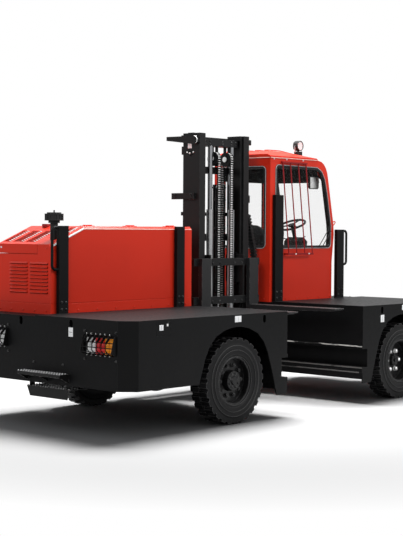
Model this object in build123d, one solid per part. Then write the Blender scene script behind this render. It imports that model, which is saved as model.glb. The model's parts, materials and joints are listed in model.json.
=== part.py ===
from build123d import *
import os
from math import atan2, cos, hypot, radians, sin, tan

# A side loader forklift, parked and empty, in millimetres.
# +X is forward, +Y is the vehicle's left (cab and engine), +Z is up.
# The load comes on from the right, -Y. The origin lies on the ground under the middle of the overall box.

os.makedirs("parts", exist_ok=True)

# Driving lengths of the chassis, from the rear end plate to the front one
REAR_OVERHANG = 1482.0    # rear end plate to rear axle
REAR_ARCH_RUN = 766.0     # rear axle to the mast well
WELL_WIDTH = 1309.0       # the mast well, open to the load side
FRONT_ARCH_RUN = 771.0    # mast well to front axle
FRONT_OVERHANG = 952.0    # front axle to front end plate
BODY_WIDTH = 2200.0       # over the deck edges
END_REACH = 120.0         # what the steps stand out past each end

# Driving heights and plates of the chassis
DECK_Z = 1063.0           # top of the load deck
SKIRT_Z = 430.0           # lower edge of the side plates
LEG_Z = 230.0             # lower edge of the legs beside the mast well
WELL_LOW_Z = 270.0        # lower edge of the well walls
CORNER_CHAMFER = 133.0    # 45 degree corners in plan
WALL = 12.0               # side and end plates
WELL_WALL = 20.0          # plates at both sides of the mast well
DECK_PLATE = 12.0
DECK_STEP = 10.0          # the frame under cab and hood lies this much below the load deck
LEG_FOOT = 160.0          # width of a leg at its lower edge
LEFT_STRIP = 950.0        # cab, hood and posts stand on this strip of the body's left
TIE_BEAM_WIDTH = 220.0
RAIL_Y = 430.0            # rails that carry the axles
RAIL_WIDTH = 100.0
RAIL_LOW_Z = 640.0
RAIL_HIGH_Z = 840.0

# Running gear
TYRE_RADIUS = 420.0
TYRE_WIDTH = 220.0
LUG_DEPTH = 20.0
LUGS = 28
RIM_RADIUS = 230.0
TYRE_INSET = 20.0         # tyre's outer wall behind the body's edge
KINGPIN_INSET = 170.0     # kingpin inboard of the wheel's middle plane
KINGPIN_RADIUS = 22.0
SPINDLE_RADIUS = 35.0
AXLE_TUBE_RADIUS = 75.0
DIFF_RADIUS = 190.0
STEER_ARM = 185.0         # from kingpin back to the tie rod pin

# Guide channels for the mast trolley
CHANNEL_LOW_Z = 400.0
CHANNEL_HIGH_Z = 600.0
CHANNEL_DEPTH = 86.0
CHANNEL_PLATE = 10.0
CHANNEL_PROUD = 10.0      # flanges stand out of the well wall
CHANNEL_FLANGES = (60.0, 32.0)   # lower and upper flange
CHANNEL_SHORT = 30.0      # left end of the channels, short of the tie beam

# Mast
MAST_SHIFT = 2.0          # mast's middle, forward of the well's middle
MAST_WIDTH = 830.0
MAST_SET_BACK = 175.0     # face of the outer uprights, left of the deck's edge
MAST_DEPTH = 245.0
MAST_LOW_Z = 300.0
MAST_TOP_Z = 2930.0
MAST_TIE_Z = 2030.0
UPRIGHT_FLANGE = 90.0
UPRIGHT_PLATE = 18.0
INNER_RAIL_OFFSET = 60.0  # inner rail web, in from the upright's outer face
INNER_RAIL_FLANGE = 60.0
INNER_RAIL_PLATE = 15.0
INNER_LOW_Z = 800.0
RUN_GAP = 5.0             # between parts that slide past each other
FIT_GAP = 0.3             # round pins, rods and shafts
PIVOT_Z = 420.0           # mast foot pin
PIVOT_RADIUS = 30.0
CYLINDER_RUNS = (-150.0, 208.0)   # lift cylinders, from the mast's middle
LIFT_ROD_RADIUS = 28.0
LIFT_BARREL_RADIUS = 40.0
CHAIN_RUNS = (-78.0, 133.0)       # lift chains, from the mast's middle
CHAIN_WIDTH = 48.0
CHAIN_THICK = 16.0
CHAIN_PITCH = 50.0
SHEAVE_RADIUS = 70.0
SHEAVE_Z = 2660.0

# Forks and their carriage
FORK_TOP_Z = 1040.0
FORK_LENGTH = 1200.0
FORK_WIDTH = 150.0
FORK_THICK = 50.0
FORK_SPREAD = 400.0       # each fork's middle, from the mast's middle
CARRIAGE_WIDTH = 1100.0
CARRIAGE_HIGH_Z = 1600.0
CARRIAGE_BAR = 45.0       # thickness of the fork bars

# Cab
CAB_LENGTH = 1180.0
CAB_WIDTH = 850.0
CAB_EDGE = 50.0           # cab's left wall, in from the body's edge
CAB_WELL_GAP = 5.0        # cab's rear wall reaches this far over the well
CAB_ROOF_Z = 2700.0
CAB_WALL = 36.0
GLASS = 6.0
SEAL = 18.0               # width of the rubber round a window
SEAL_PROUD = 5.0
SILL_Z = 1660.0
WINDOW_TOP_Z = 2630.0
ROOF_RISE = 90.0
DOOR_REAR_RUN = 98.0      # door's rear edge, forward of the cab's rear wall
DOOR_FRONT_RUN = 222.0    # door's front edge, behind the cab's front
DOOR_LOW_Z = 1115.0
DOOR_TOP_Z = 2600.0
DOOR_GAP = 5.0
DOOR_SKIN = 30.0

# Engine hood
HOOD_LENGTH = 1992.0
HOOD_WIDTH = 820.0
HOOD_EDGE = 80.0          # hood's left wall, in from the body's edge
HOOD_WELL_RUN = 16.0      # hood's front wall, behind the well
HOOD_SLOPE_RUN = 432.0    # length of the sloping rear end
HOOD_TOP_Z = 1905.0
HOOD_EAVE_Z = 1727.0
HOOD_SPLIT_Z = 1630.0
HOOD_SPINE = 195.0        # width of the fixed spine beside the lid
HOOD_WALL = 6.0
HOOD_CHAMFER = 30.0       # along the spine's upper edge

# Values that follow from the ones above
BODY_LENGTH = REAR_OVERHANG + REAR_ARCH_RUN + WELL_WIDTH + FRONT_ARCH_RUN + FRONT_OVERHANG
REAR_X = -BODY_LENGTH / 2
REAR_AXLE_X = REAR_X + REAR_OVERHANG
WELL_REAR_X = REAR_AXLE_X + REAR_ARCH_RUN
WELL_FRONT_X = WELL_REAR_X + WELL_WIDTH
FRONT_AXLE_X = WELL_FRONT_X + FRONT_ARCH_RUN
FRONT_X = BODY_LENGTH / 2
EDGE_Y = BODY_WIDTH / 2
DECK_LEFT_Y = EDGE_Y - LEFT_STRIP
BEAM_Y = EDGE_Y - TIE_BEAM_WIDTH
FRAME_Z = DECK_Z - DECK_STEP
WHEEL_Z = TYRE_RADIUS
TYRE_OUT_Y = EDGE_Y - TYRE_INSET
WHEEL_Y = TYRE_OUT_Y - TYRE_WIDTH / 2
KINGPIN_Y = WHEEL_Y - KINGPIN_INSET
CHANNEL_INNER_Y = BEAM_Y - CHANNEL_SHORT
MAST_MID_X = (WELL_REAR_X + WELL_FRONT_X) / 2 + MAST_SHIFT
MAST_REAR_X = MAST_MID_X - MAST_WIDTH / 2
MAST_FRONT_X = MAST_MID_X + MAST_WIDTH / 2
MAST_FACE_Y = DECK_LEFT_Y + MAST_SET_BACK
MAST_BACK_Y = MAST_FACE_Y + MAST_DEPTH
PIVOT_Y = MAST_FACE_Y + MAST_DEPTH / 2
CAB_REAR_X = WELL_FRONT_X - CAB_WELL_GAP
CAB_FRONT_X = CAB_REAR_X + CAB_LENGTH
CAB_LEFT_Y = EDGE_Y - CAB_EDGE
CAB_RIGHT_Y = CAB_LEFT_Y - CAB_WIDTH
DOOR_REAR_X = CAB_REAR_X + DOOR_REAR_RUN
DOOR_FRONT_X = CAB_FRONT_X - DOOR_FRONT_RUN
HOOD_FRONT_X = WELL_REAR_X - HOOD_WELL_RUN
HOOD_REAR_X = HOOD_FRONT_X - HOOD_LENGTH
HOOD_RIDGE_X = HOOD_REAR_X + HOOD_SLOPE_RUN
HOOD_LEFT_Y = EDGE_Y - HOOD_EDGE
HOOD_RIGHT_Y = HOOD_LEFT_Y - HOOD_WIDTH
HOOD_SPINE_Y = HOOD_RIGHT_Y + HOOD_SPINE


def block(x0, x1, y0, y1, z0, z1):
    """Box between two corners."""
    middle = Pos((x0 + x1) / 2, (y0 + y1) / 2, (z0 + z1) / 2)
    return middle * Box(abs(x1 - x0), abs(y1 - y0), abs(z1 - z0))


def bar_x(x0, x1, y, z, radius):
    """Round bar along X."""
    return Pos((x0 + x1) / 2, y, z) * Rot(0, 90, 0) * Cylinder(radius, abs(x1 - x0))


def bar_y(x, y0, y1, z, radius):
    """Round bar along Y."""
    return Pos(x, (y0 + y1) / 2, z) * Rot(90, 0, 0) * Cylinder(radius, abs(y1 - y0))


def bar_z(x, y, z0, z1, radius):
    """Round bar along Z."""
    return Pos(x, y, (z0 + z1) / 2) * Cylinder(radius, abs(z1 - z0))


def prism_x(points, x0, x1):
    """Outline of (y, z) points drawn out along X."""
    return extrude(Plane.YZ.offset(x0) * Polygon(*points, align=None), amount=x1 - x0, dir=(1, 0, 0))


def prism_y(points, y0, y1):
    """Outline of (x, z) points drawn out along Y."""
    plane = Plane(origin=(0, y1, 0), x_dir=(1, 0, 0), z_dir=(0, -1, 0))
    return extrude(plane * Polygon(*points, align=None), amount=y1 - y0, dir=(0, -1, 0))


def prism_z(points, z0, z1):
    """Outline of (x, y) points drawn out along Z."""
    return extrude(Plane.XY.offset(z0) * Polygon(*points, align=None), amount=z1 - z0, dir=(0, 0, 1))


def slab_y(face, y0, y1):
    """Face drawn on (x, z), drawn out along Y."""
    plane = Plane(origin=(0, y1, 0), x_dir=(1, 0, 0), z_dir=(0, -1, 0))
    return extrude(plane * face, amount=y1 - y0, dir=(0, -1, 0))


def slab_x(face, x0, x1):
    """Face drawn on (y, z), drawn out along X."""
    return extrude(Plane.YZ.offset(x0) * face, amount=x1 - x0, dir=(1, 0, 0))


def grow(face, amount):
    """Face made wider, or narrower where the amount is negative."""
    result = offset(face, amount=amount, kind=Kind.INTERSECTION)
    if (result.area > face.area) != (amount > 0):
        result = offset(face, amount=-amount, kind=Kind.INTERSECTION)
    return result


def round_bar(start, end, radius):
    """Round bar between two points."""
    run = [b - a for a, b in zip(start, end)]
    return Location(Plane(origin=start, z_dir=run)) * Pos(0, 0, hypot(*run) / 2) * Cylinder(radius, hypot(*run))


def save(node, *shapes):
    """One STEP file per node, from solids that stay apart."""
    solids = [solid for shape in shapes for solid in shape.solids()]
    export_step(solids[0] if len(solids) == 1 else Compound(children=solids), f"parts/{node}.step")


def mirror_y(shape):
    """The same piece on the vehicle's other side."""
    return mirror(shape, about=Plane.XZ)


# Body halves
# Half of a wheel arch: distance from the axle and height, from the foot up to the crown
ARCH = ((542, SKIRT_Z - 5), (542, 447), (462, 672), (399, 784), (305, 870), (183, 921), (60, 944))


def arch_prism(axle_x):
    """Opening of a wheel arch, drawn through the whole width."""
    rear = [(axle_x - reach, z) for reach, z in ARCH]
    front = [(axle_x + reach, z) for reach, z in reversed(ARCH)]
    return prism_y(rear + front, -EDGE_Y - 5, EDGE_Y + 5)


def body_half(end_x, well_x, axle_x):
    """Open-bottomed body half: end plate, side plates, well wall with its leg, guide channel and axle rails."""
    way = 1 if well_x > end_x else -1
    corner = CORNER_CHAMFER
    plan = ((end_x, -EDGE_Y + corner), (end_x + way * corner, -EDGE_Y), (well_x, -EDGE_Y),
            (well_x, EDGE_Y), (end_x + way * corner, EDGE_Y), (end_x, EDGE_Y - corner))
    cut = WALL * tan(radians(22.5))
    inner_end = end_x + way * WALL
    inner_well = well_x - way * WELL_WALL
    side = EDGE_Y - WALL
    room = ((inner_end, -EDGE_Y + corner + cut), (end_x + way * (corner + cut), -side), (inner_well, -side),
            (inner_well, side), (end_x + way * (corner + cut), side), (inner_end, EDGE_Y - corner - cut))
    shell = prism_z(plan, SKIRT_Z, DECK_Z) - prism_z(room, SKIRT_Z - 5, DECK_Z - DECK_PLATE)
    # the engine and the cab stand over the left side, which has no deck plate but a flange
    open_x = (end_x + way * 240, well_x - way * 120)
    shell -= block(*open_x, CAB_RIGHT_Y + 60, EDGE_Y - 140, DECK_Z - 2 * DECK_PLATE, DECK_Z + 5)
    shell -= block(end_x - way * 5, well_x + way * 5, DECK_LEFT_Y, EDGE_Y + 5, FRAME_Z, DECK_Z + 5)
    shell -= arch_prism(axle_x)
    # leg beside the well, on the load side and on the left
    foot_x = well_x - way * LEG_FOOT
    knee_x = axle_x + way * ARCH[1][0]
    leg = ((well_x, LEG_Z), (foot_x, LEG_Z), (knee_x, ARCH[1][1]), (well_x, ARCH[1][1]))
    for side_y in (-1, 1):
        shell += prism_y(leg, min(side_y * EDGE_Y, side_y * side), max(side_y * EDGE_Y, side_y * side))
    shell += block(well_x, inner_well, -EDGE_Y, EDGE_Y, WELL_LOW_Z, SKIRT_Z)
    # guide channel, let into the well wall, its flanges a little proud
    mouth = block(well_x + way * 2 * CHANNEL_PROUD, well_x - way * CHANNEL_DEPTH, -EDGE_Y - 5, CHANNEL_INNER_Y,
                  CHANNEL_LOW_Z, CHANNEL_HIGH_Z)
    channel = block(well_x + way * CHANNEL_PROUD, well_x - way * (CHANNEL_DEPTH + CHANNEL_PLATE), -EDGE_Y,
                    CHANNEL_INNER_Y + CHANNEL_PLATE, CHANNEL_LOW_Z - CHANNEL_FLANGES[0],
                    CHANNEL_HIGH_Z + CHANNEL_FLANGES[1])
    shell = shell + channel - mouth
    # two rails that carry the axle, from the end plate to the well wall
    for side_y in (-1, 1):
        shell += block(inner_end, inner_well, side_y * RAIL_Y - RAIL_WIDTH / 2, side_y * RAIL_Y + RAIL_WIDTH / 2,
                       RAIL_LOW_Z, RAIL_HIGH_Z)
    return shell


rear_body = body_half(REAR_X, WELL_REAR_X, REAR_AXLE_X)
front_body = body_half(FRONT_X, WELL_FRONT_X, FRONT_AXLE_X)

# Slots for lashing straps: in the end plates (place is y) and in the load-side plates (place is x)
SLOT_WIDTH = 46.0
SLOT_HEIGHT = 80.0
SLOT_Z = 1005.0
SLOT_RUN_Y = 353.0        # from the body's middle line
SLOT_RUN_X = 361.0        # from the front well wall, and as far behind the rear one
slot_half = SLOT_HEIGHT / 2 - SLOT_WIDTH / 2


def slot_x(x, y):
    """Upright slot through an end plate."""
    ends = (x - 2 * WALL, x + 2 * WALL)
    cut = block(*ends, y - SLOT_WIDTH / 2, y + SLOT_WIDTH / 2, SLOT_Z - slot_half, SLOT_Z + slot_half)
    for z in (SLOT_Z - slot_half, SLOT_Z + slot_half):
        cut += bar_x(*ends, y, z, SLOT_WIDTH / 2)
    return cut


def slot_y(x, y):
    """Upright slot through a side plate."""
    ends = (y - 2 * WALL, y + 2 * WALL)
    cut = block(x - SLOT_WIDTH / 2, x + SLOT_WIDTH / 2, *ends, SLOT_Z - slot_half, SLOT_Z + slot_half)
    for z in (SLOT_Z - slot_half, SLOT_Z + slot_half):
        cut += bar_y(x, *ends, z, SLOT_WIDTH / 2)
    return cut


for y in (-SLOT_RUN_Y, SLOT_RUN_Y):
    rear_body -= slot_x(REAR_X, y)
    front_body -= slot_x(FRONT_X, y)
rear_body -= slot_y(WELL_REAR_X - SLOT_RUN_X, -EDGE_Y)
front_body -= slot_y(WELL_FRONT_X + SLOT_RUN_X, -EDGE_Y)

# Openings for the rear lamps, and the groove round the access panel
LAMP_HEIGHT = (740.0, 917.0)
LAMP_INNER_Y = 555.0
LAMP_OUTER_Y = 933.0
LAMP_CORNER = 24.0
PANEL_RUN = (358.0, 547.0)    # from the rear end plate
PANEL_HEIGHT = (913.0, 1040.0)
GROOVE = 4.0
lamp_width = LAMP_OUTER_Y - LAMP_INNER_Y
lamp_tall = LAMP_HEIGHT[1] - LAMP_HEIGHT[0]
lamp_middle = (LAMP_INNER_Y + LAMP_OUTER_Y) / 2
lamp_z = sum(LAMP_HEIGHT) / 2
lamp_face = RectangleRounded(lamp_width, lamp_tall, LAMP_CORNER)
for side_y in (-1, 1):
    rear_body -= slab_x(Pos(side_y * lamp_middle, lamp_z) * lamp_face, REAR_X - 5, REAR_X + WALL + 5)
panel = block(REAR_X + PANEL_RUN[0], REAR_X + PANEL_RUN[1], -EDGE_Y - 1, -EDGE_Y + GROOVE, *PANEL_HEIGHT)
panel -= block(REAR_X + PANEL_RUN[0] + GROOVE, REAR_X + PANEL_RUN[1] - GROOVE, -EDGE_Y - 2, -EDGE_Y + 2 * GROOVE,
               PANEL_HEIGHT[0] + GROOVE, PANEL_HEIGHT[1] - GROOVE)
rear_body -= panel
save("rear_body", rear_body)
save("front_body", front_body)

# Beam along the left edge of the well, which joins the two halves, with a step let into it
BEAM_LOW_Z = 480.0
STEP_X = (WELL_FRONT_X - 447, WELL_FRONT_X - 67)
STEP_POCKET_Z = (660.0, 860.0)
beam = block(WELL_REAR_X, WELL_FRONT_X, BEAM_Y, EDGE_Y, BEAM_LOW_Z, FRAME_Z)
beam -= block(WELL_REAR_X - 5, WELL_FRONT_X + 5, BEAM_Y + WELL_WALL, EDGE_Y - WELL_WALL,
              BEAM_LOW_Z + WELL_WALL, FRAME_Z - WELL_WALL)
beam -= block(*STEP_X, EDGE_Y - 2 * WELL_WALL, EDGE_Y + 5, *STEP_POCKET_Z)
beam += block(*STEP_X, BEAM_Y + WELL_WALL, EDGE_Y, STEP_POCKET_Z[0] - WALL, STEP_POCKET_Z[0])
save("tie_beam", beam)

# Load guard posts between the deck and the cab side
POST_THICK = 44.0
# rear edge, width, top, side of the grab handle
POSTS = ((REAR_X + 306, 118.0, 1907.0, -1), (WELL_REAR_X - 291, 115.0, 1907.0, 0),
         (WELL_FRONT_X + 35, 143.0, 2277.0, 0), (CAB_FRONT_X + 43, 137.0, 1886.0, 1))
HANDLE_RADIUS = 14.0
HANDLE_REACH = 75.0
HANDLE_HEIGHT = 420.0
posts = []
for rear_edge, width, top, handle in POSTS:
    front_edge = rear_edge + width
    post = block(rear_edge, front_edge, DECK_LEFT_Y, DECK_LEFT_Y + POST_THICK, FRAME_Z, top)
    if handle:
        edge = front_edge if handle > 0 else rear_edge
        middle_y = DECK_LEFT_Y + POST_THICK / 2
        grip_x = edge + handle * HANDLE_REACH
        low, high = top - HANDLE_HEIGHT, top - HANDLE_RADIUS - 2
        path = FilletPolyline((edge - handle * 5, middle_y, low), (grip_x, middle_y, low),
                              (grip_x, middle_y, high), (edge - handle * 5, middle_y, high), radius=40)
        profile = Plane(origin=path @ 0, z_dir=path % 0) * Circle(HANDLE_RADIUS)
        post += sweep(profile, path=path)
    posts.append(post)
save("guard_posts", *posts)

# Rear and front steps: a tread that stands out, and a lower one hung at the rear
STEP_TOP_Z = 540.0
STEP_THICK = 30.0
STEP_WIDTH = 592.0
STEP_MIDDLE_Y = -33.0
LOW_STEP_Z = 392.0
LOW_STEP_DROP = 95.0
step_y = (STEP_MIDDLE_Y - STEP_WIDTH / 2, STEP_MIDDLE_Y + STEP_WIDTH / 2)
end_steps = []
for end_x, way in ((REAR_X, -1), (FRONT_X, 1)):
    out_x = end_x + way * END_REACH
    step = block(end_x, out_x, *step_y, STEP_TOP_Z - STEP_THICK, STEP_TOP_Z)
    step -= block(end_x, out_x - way * WALL, step_y[0] + WALL, step_y[1] - WALL,
                  STEP_TOP_Z - STEP_THICK - 1, STEP_TOP_Z - WALL / 2)
    for y in (step_y[0], STEP_MIDDLE_Y - WALL / 2, step_y[1] - WALL):
        gusset = ((end_x, STEP_TOP_Z - WALL / 2), (out_x - way * WALL / 2, STEP_TOP_Z - WALL / 2),
                  (out_x - way * WALL / 2, STEP_TOP_Z - STEP_THICK), (end_x, STEP_TOP_Z - 90))
        step += prism_y(gusset, y, y + WALL)
    end_steps.append(step)
tread = ((step_y[0], LOW_STEP_Z), (step_y[1], LOW_STEP_Z), (step_y[1] - 44, LOW_STEP_Z - LOW_STEP_DROP),
         (step_y[0] + 27, LOW_STEP_Z - LOW_STEP_DROP))
low_step = prism_x(tread, REAR_X, REAR_X + 8)
low_step += block(REAR_X, REAR_X + 230, *step_y, LOW_STEP_Z - 8, LOW_STEP_Z)
for y in (step_y[0] + 39, step_y[1] - 49):
    low_step += block(REAR_X, REAR_X + 60, y, y + 10, LOW_STEP_Z - 8, SKIRT_Z)
save("end_steps", *end_steps, low_step)

# Stirrup step for the cab, hung under the tie beam
STIRRUP_Z = 300.0
stirrup = block(*STEP_X, EDGE_Y - 130, EDGE_Y - 2, STIRRUP_Z, STIRRUP_Z + WALL)
for x in (STEP_X[0], STEP_X[1] - WALL):
    stirrup += block(x, x + WALL, EDGE_Y - 60, EDGE_Y - 2, STIRRUP_Z, BEAM_LOW_Z)
save("cab_step", stirrup)

# Rear lamp clusters, sunk into the end plate behind wire guards, and front lamps
LAMP_SINK = 50.0
LENS_PROUD = 4.0
GUARD_WIRE = 5.0
GUARD_OUT = (22.0, 58.0)      # upper and lower wire, from the end plate
LENSES = ("white", "white", "red", "red", "amber", "amber")   # from the middle outwards
lens_pitch = (lamp_width - 20) / len(LENSES)
boxes, lenses = [], {"white": [], "red": [], "amber": []}
plate_x = REAR_X + WALL
for side_y in (-1, 1):
    middle_y = side_y * lamp_middle
    case = block(plate_x, plate_x + LAMP_SINK, middle_y - lamp_width / 2 - WALL, middle_y + lamp_width / 2 + WALL,
                 LAMP_HEIGHT[0] - WALL, LAMP_HEIGHT[1] + WALL)
    case -= block(plate_x - 1, plate_x + LAMP_SINK - WALL, middle_y - lamp_width / 2, middle_y + lamp_width / 2,
                  *LAMP_HEIGHT)
    ends = (middle_y - lamp_width / 2 - 14, middle_y + lamp_width / 2 + 14)
    wires = None
    for share in (0.0, 0.33, 0.67, 1.0):
        out_x = REAR_X - GUARD_OUT[0] - (GUARD_OUT[1] - GUARD_OUT[0]) * share
        z = LAMP_HEIGHT[1] - 12 - (lamp_tall - 44) * share
        wire = bar_y(out_x, *ends, z, GUARD_WIRE)
        wires = wire if wires is None else wires + wire
    for y in ends:
        stay = ((REAR_X, LAMP_HEIGHT[1] + 8), (REAR_X - GUARD_OUT[0] - 6, LAMP_HEIGHT[1] - 4),
                (REAR_X - GUARD_OUT[1] - 6, LAMP_HEIGHT[0] + 26), (REAR_X, LAMP_HEIGHT[0] + 6))
        wires += prism_y(stay, y - 3, y + 3)
    boxes += [case, wires]
    for place, colour in enumerate(LENSES):
        middle = side_y * (LAMP_INNER_Y + 10 + lens_pitch * (place + 0.5))
        lenses[colour].append(block(REAR_X - LENS_PROUD, plate_x + LAMP_SINK - WALL, middle - lens_pitch * 0.42,
                                    middle + lens_pitch * 0.42, LAMP_HEIGHT[0] + 16, LAMP_HEIGHT[1] - 16))
save("rear_lamp_boxes", *boxes)
for colour, shapes in lenses.items():
    save(f"rear_lenses_{colour}", *shapes)
FRONT_LAMP_RADIUS = 88.0
FRONT_LAMP_DEPTH = 40.0
glass_radius = FRONT_LAMP_RADIUS - WALL
front_lamps, front_glass = [], []
for side_y in (-1, 1):
    y = side_y * lamp_middle
    lamp_end = FRONT_X + FRONT_LAMP_DEPTH
    front_lamps.append(bar_x(FRONT_X, lamp_end, y, lamp_z, FRONT_LAMP_RADIUS)
                       - bar_x(lamp_end - 10, lamp_end + 1, y, lamp_z, glass_radius))
    front_glass.append(bar_x(lamp_end - 10, lamp_end - 2, y, lamp_z, glass_radius - FIT_GAP))
save("front_lamps", *front_lamps)
save("front_lamp_glass", *front_glass)

# Rear drive axle: tube, differential and seats under the rails
HUB_IN = 75.0             # hub's inner face, inboard of the wheel's middle
HUB_BORE_END = 40.0       # end of the hub's bore, inboard of the wheel's middle
axle_end_y = WHEEL_Y - HUB_BORE_END - RUN_GAP
rear_axle = bar_y(REAR_AXLE_X, -axle_end_y + 90, axle_end_y - 90, WHEEL_Z, AXLE_TUBE_RADIUS)
rear_axle += bar_y(REAR_AXLE_X, -axle_end_y, axle_end_y, WHEEL_Z, SPINDLE_RADIUS)
rear_axle += Pos(REAR_AXLE_X, 0, WHEEL_Z) * Sphere(DIFF_RADIUS)
rear_axle += bar_x(REAR_AXLE_X - 40, REAR_AXLE_X + 330, 0, WHEEL_Z, 70)
for side_y in (-1, 1):
    rear_axle += block(REAR_AXLE_X - 90, REAR_AXLE_X + 90, side_y * RAIL_Y - 45, side_y * RAIL_Y + 45,
                       WHEEL_Z, RAIL_LOW_Z)
save("rear_axle", rear_axle)

# Front steer axle: box beam with a fork for each kingpin
YOKE_HALF = 95.0          # half of the height between the ears
EAR_THICK = 40.0
BEAM_HALF = 45.0          # half of the steer beam's width
front_beam = block(FRONT_AXLE_X - BEAM_HALF, FRONT_AXLE_X + BEAM_HALF, -KINGPIN_Y + 75, KINGPIN_Y - 75,
                   WHEEL_Z - 60, WHEEL_Z + 60)
for side_y in (-1, 1):
    front_beam += block(FRONT_AXLE_X - BEAM_HALF, FRONT_AXLE_X + BEAM_HALF, side_y * (KINGPIN_Y - 125),
                        side_y * (KINGPIN_Y - 75), WHEEL_Z - YOKE_HALF - EAR_THICK, WHEEL_Z + YOKE_HALF + EAR_THICK)
    for low in (WHEEL_Z - YOKE_HALF - EAR_THICK, WHEEL_Z + YOKE_HALF):
        front_beam += block(FRONT_AXLE_X - BEAM_HALF, FRONT_AXLE_X + BEAM_HALF, side_y * (KINGPIN_Y - 100),
                            side_y * KINGPIN_Y, low, low + EAR_THICK)
        front_beam += bar_z(FRONT_AXLE_X, side_y * KINGPIN_Y, low, low + EAR_THICK, BEAM_HALF)
    front_beam += bar_z(FRONT_AXLE_X, side_y * KINGPIN_Y, WHEEL_Z - YOKE_HALF - EAR_THICK - 10,
                        WHEEL_Z + YOKE_HALF + EAR_THICK + 10, KINGPIN_RADIUS)
    front_beam += block(FRONT_AXLE_X - 90, FRONT_AXLE_X + 90, side_y * RAIL_Y - 45, side_y * RAIL_Y + 45,
                        WHEEL_Z, RAIL_LOW_Z)
save("front_axle_beam", front_beam)

# Knuckles turn on the kingpins and carry the front wheels; the tie rod couples their arms
ARM_PIN_Z = WHEEL_Z - 60
ARM_PIN_RADIUS = 14.0
knuckle_half = YOKE_HALF - RUN_GAP
arm_pin_x = FRONT_AXLE_X - STEER_ARM
arm_pin_y = KINGPIN_Y
knuckle = bar_z(FRONT_AXLE_X, -KINGPIN_Y, WHEEL_Z - knuckle_half, WHEEL_Z + knuckle_half, 55)
knuckle += bar_y(FRONT_AXLE_X, -axle_end_y, -KINGPIN_Y - 30, WHEEL_Z, SPINDLE_RADIUS)
knuckle += bar_y(FRONT_AXLE_X, -KINGPIN_Y - 75, -KINGPIN_Y - 30, WHEEL_Z, 70)
knuckle += prism_z(((FRONT_AXLE_X, -KINGPIN_Y - 36), (FRONT_AXLE_X, -KINGPIN_Y + 36),
                    (arm_pin_x, -arm_pin_y + 22), (arm_pin_x, -arm_pin_y - 22)), ARM_PIN_Z - 12, ARM_PIN_Z + 12)
knuckle += bar_z(arm_pin_x, -arm_pin_y, ARM_PIN_Z - 12, ARM_PIN_Z + 12, 22)
knuckle += bar_z(arm_pin_x, -arm_pin_y, ARM_PIN_Z - 12, ARM_PIN_Z + 55, ARM_PIN_RADIUS)
knuckle -= bar_z(FRONT_AXLE_X, -KINGPIN_Y, 0, 2 * WHEEL_Z, KINGPIN_RADIUS + FIT_GAP)
save("knuckle_right", knuckle)
save("knuckle_left", mirror_y(knuckle))
TIE_ROD_Z = (ARM_PIN_Z + 17, ARM_PIN_Z + 49)
tie_rod = bar_y(arm_pin_x, -arm_pin_y, arm_pin_y, sum(TIE_ROD_Z) / 2, 14)
for side_y in (-1, 1):
    tie_rod += bar_z(arm_pin_x, side_y * arm_pin_y, *TIE_ROD_Z, 26)
for side_y in (-1, 1):
    tie_rod -= bar_z(arm_pin_x, side_y * arm_pin_y, 0, 2 * WHEEL_Z, ARM_PIN_RADIUS + FIT_GAP)
save("tie_rod", tie_rod)


# Wheels
def lug_ring(half, turn):
    """Toothed ring: one row of tread lugs."""
    base = TYRE_RADIUS - LUG_DEPTH
    pitch = 360 / LUGS
    points = []
    for lug in range(LUGS):
        for share, radius in ((0.0, base), (0.28, base), (0.38, TYRE_RADIUS), (0.90, TYRE_RADIUS)):
            angle = radians((lug + share + turn) * pitch)
            points.append((radius * cos(angle), radius * sin(angle)))
    ring = extrude(Polygon(*points, align=None), amount=half)
    return ring - Cylinder(TYRE_RADIUS - 60, 3 * half)


def tyre():
    """Tyre about the Z axis through the origin, its width along Z."""
    half = TYRE_WIDTH / 2
    profile = Polygon((RIM_RADIUS, -half + 20), (RIM_RADIUS + 30, -half + 6), (TYRE_RADIUS - 80, -half),
                      (TYRE_RADIUS - 50, -half + 8), (TYRE_RADIUS - 50, half - 8), (TYRE_RADIUS - 80, half),
                      (RIM_RADIUS + 30, half - 6), (RIM_RADIUS, half - 20), align=None)
    body = revolve(Plane.XZ * profile, axis=Axis.Z)
    rows = Pos(0, 0, -half + 6) * lug_ring(half - 6, 0) + lug_ring(half - 6, 0.5)
    return body + rows


def rim(dish, hub_radius, hub_out, studs, stud_circle, stud_radius, stud_long):
    """Rim about Z, outer face towards +Z: barrel, disc, hub and studs. The hub's bore opens inboard."""
    half = TYRE_WIDTH / 2
    barrel = RIM_RADIUS - FIT_GAP
    wall = 12.0
    profile = Polygon((barrel, -half + 20), (barrel, half - 20), (barrel - wall, half - 20), (barrel - wall, dish + 14),
                      (hub_radius, dish + 14), (hub_radius - 12, hub_out), (0, hub_out), (0, -HUB_IN),
                      (SPINDLE_RADIUS + 25, -HUB_IN), (SPINDLE_RADIUS + 25, dish), (barrel - wall, dish),
                      (barrel - wall, -half + 20), align=None)
    wheel = revolve(Plane.XZ * profile, axis=Axis.Z)
    for place in range(studs):
        angle = radians(360 * place / studs)
        wheel += Pos(stud_circle * cos(angle), stud_circle * sin(angle), dish + 14 + stud_long / 2) * Cylinder(
            stud_radius, stud_long)
    return wheel - bar_z(0, 0, -HUB_IN - 10, -HUB_BORE_END, SPINDLE_RADIUS + FIT_GAP)


def place_wheel(shape, axle_x, side_y):
    """Turn a wheel's own axis to the vehicle's side and move it to its axle."""
    return Pos(axle_x, side_y * WHEEL_Y, WHEEL_Z) * Rot(-90 * side_y, 0, 0) * shape


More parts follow.
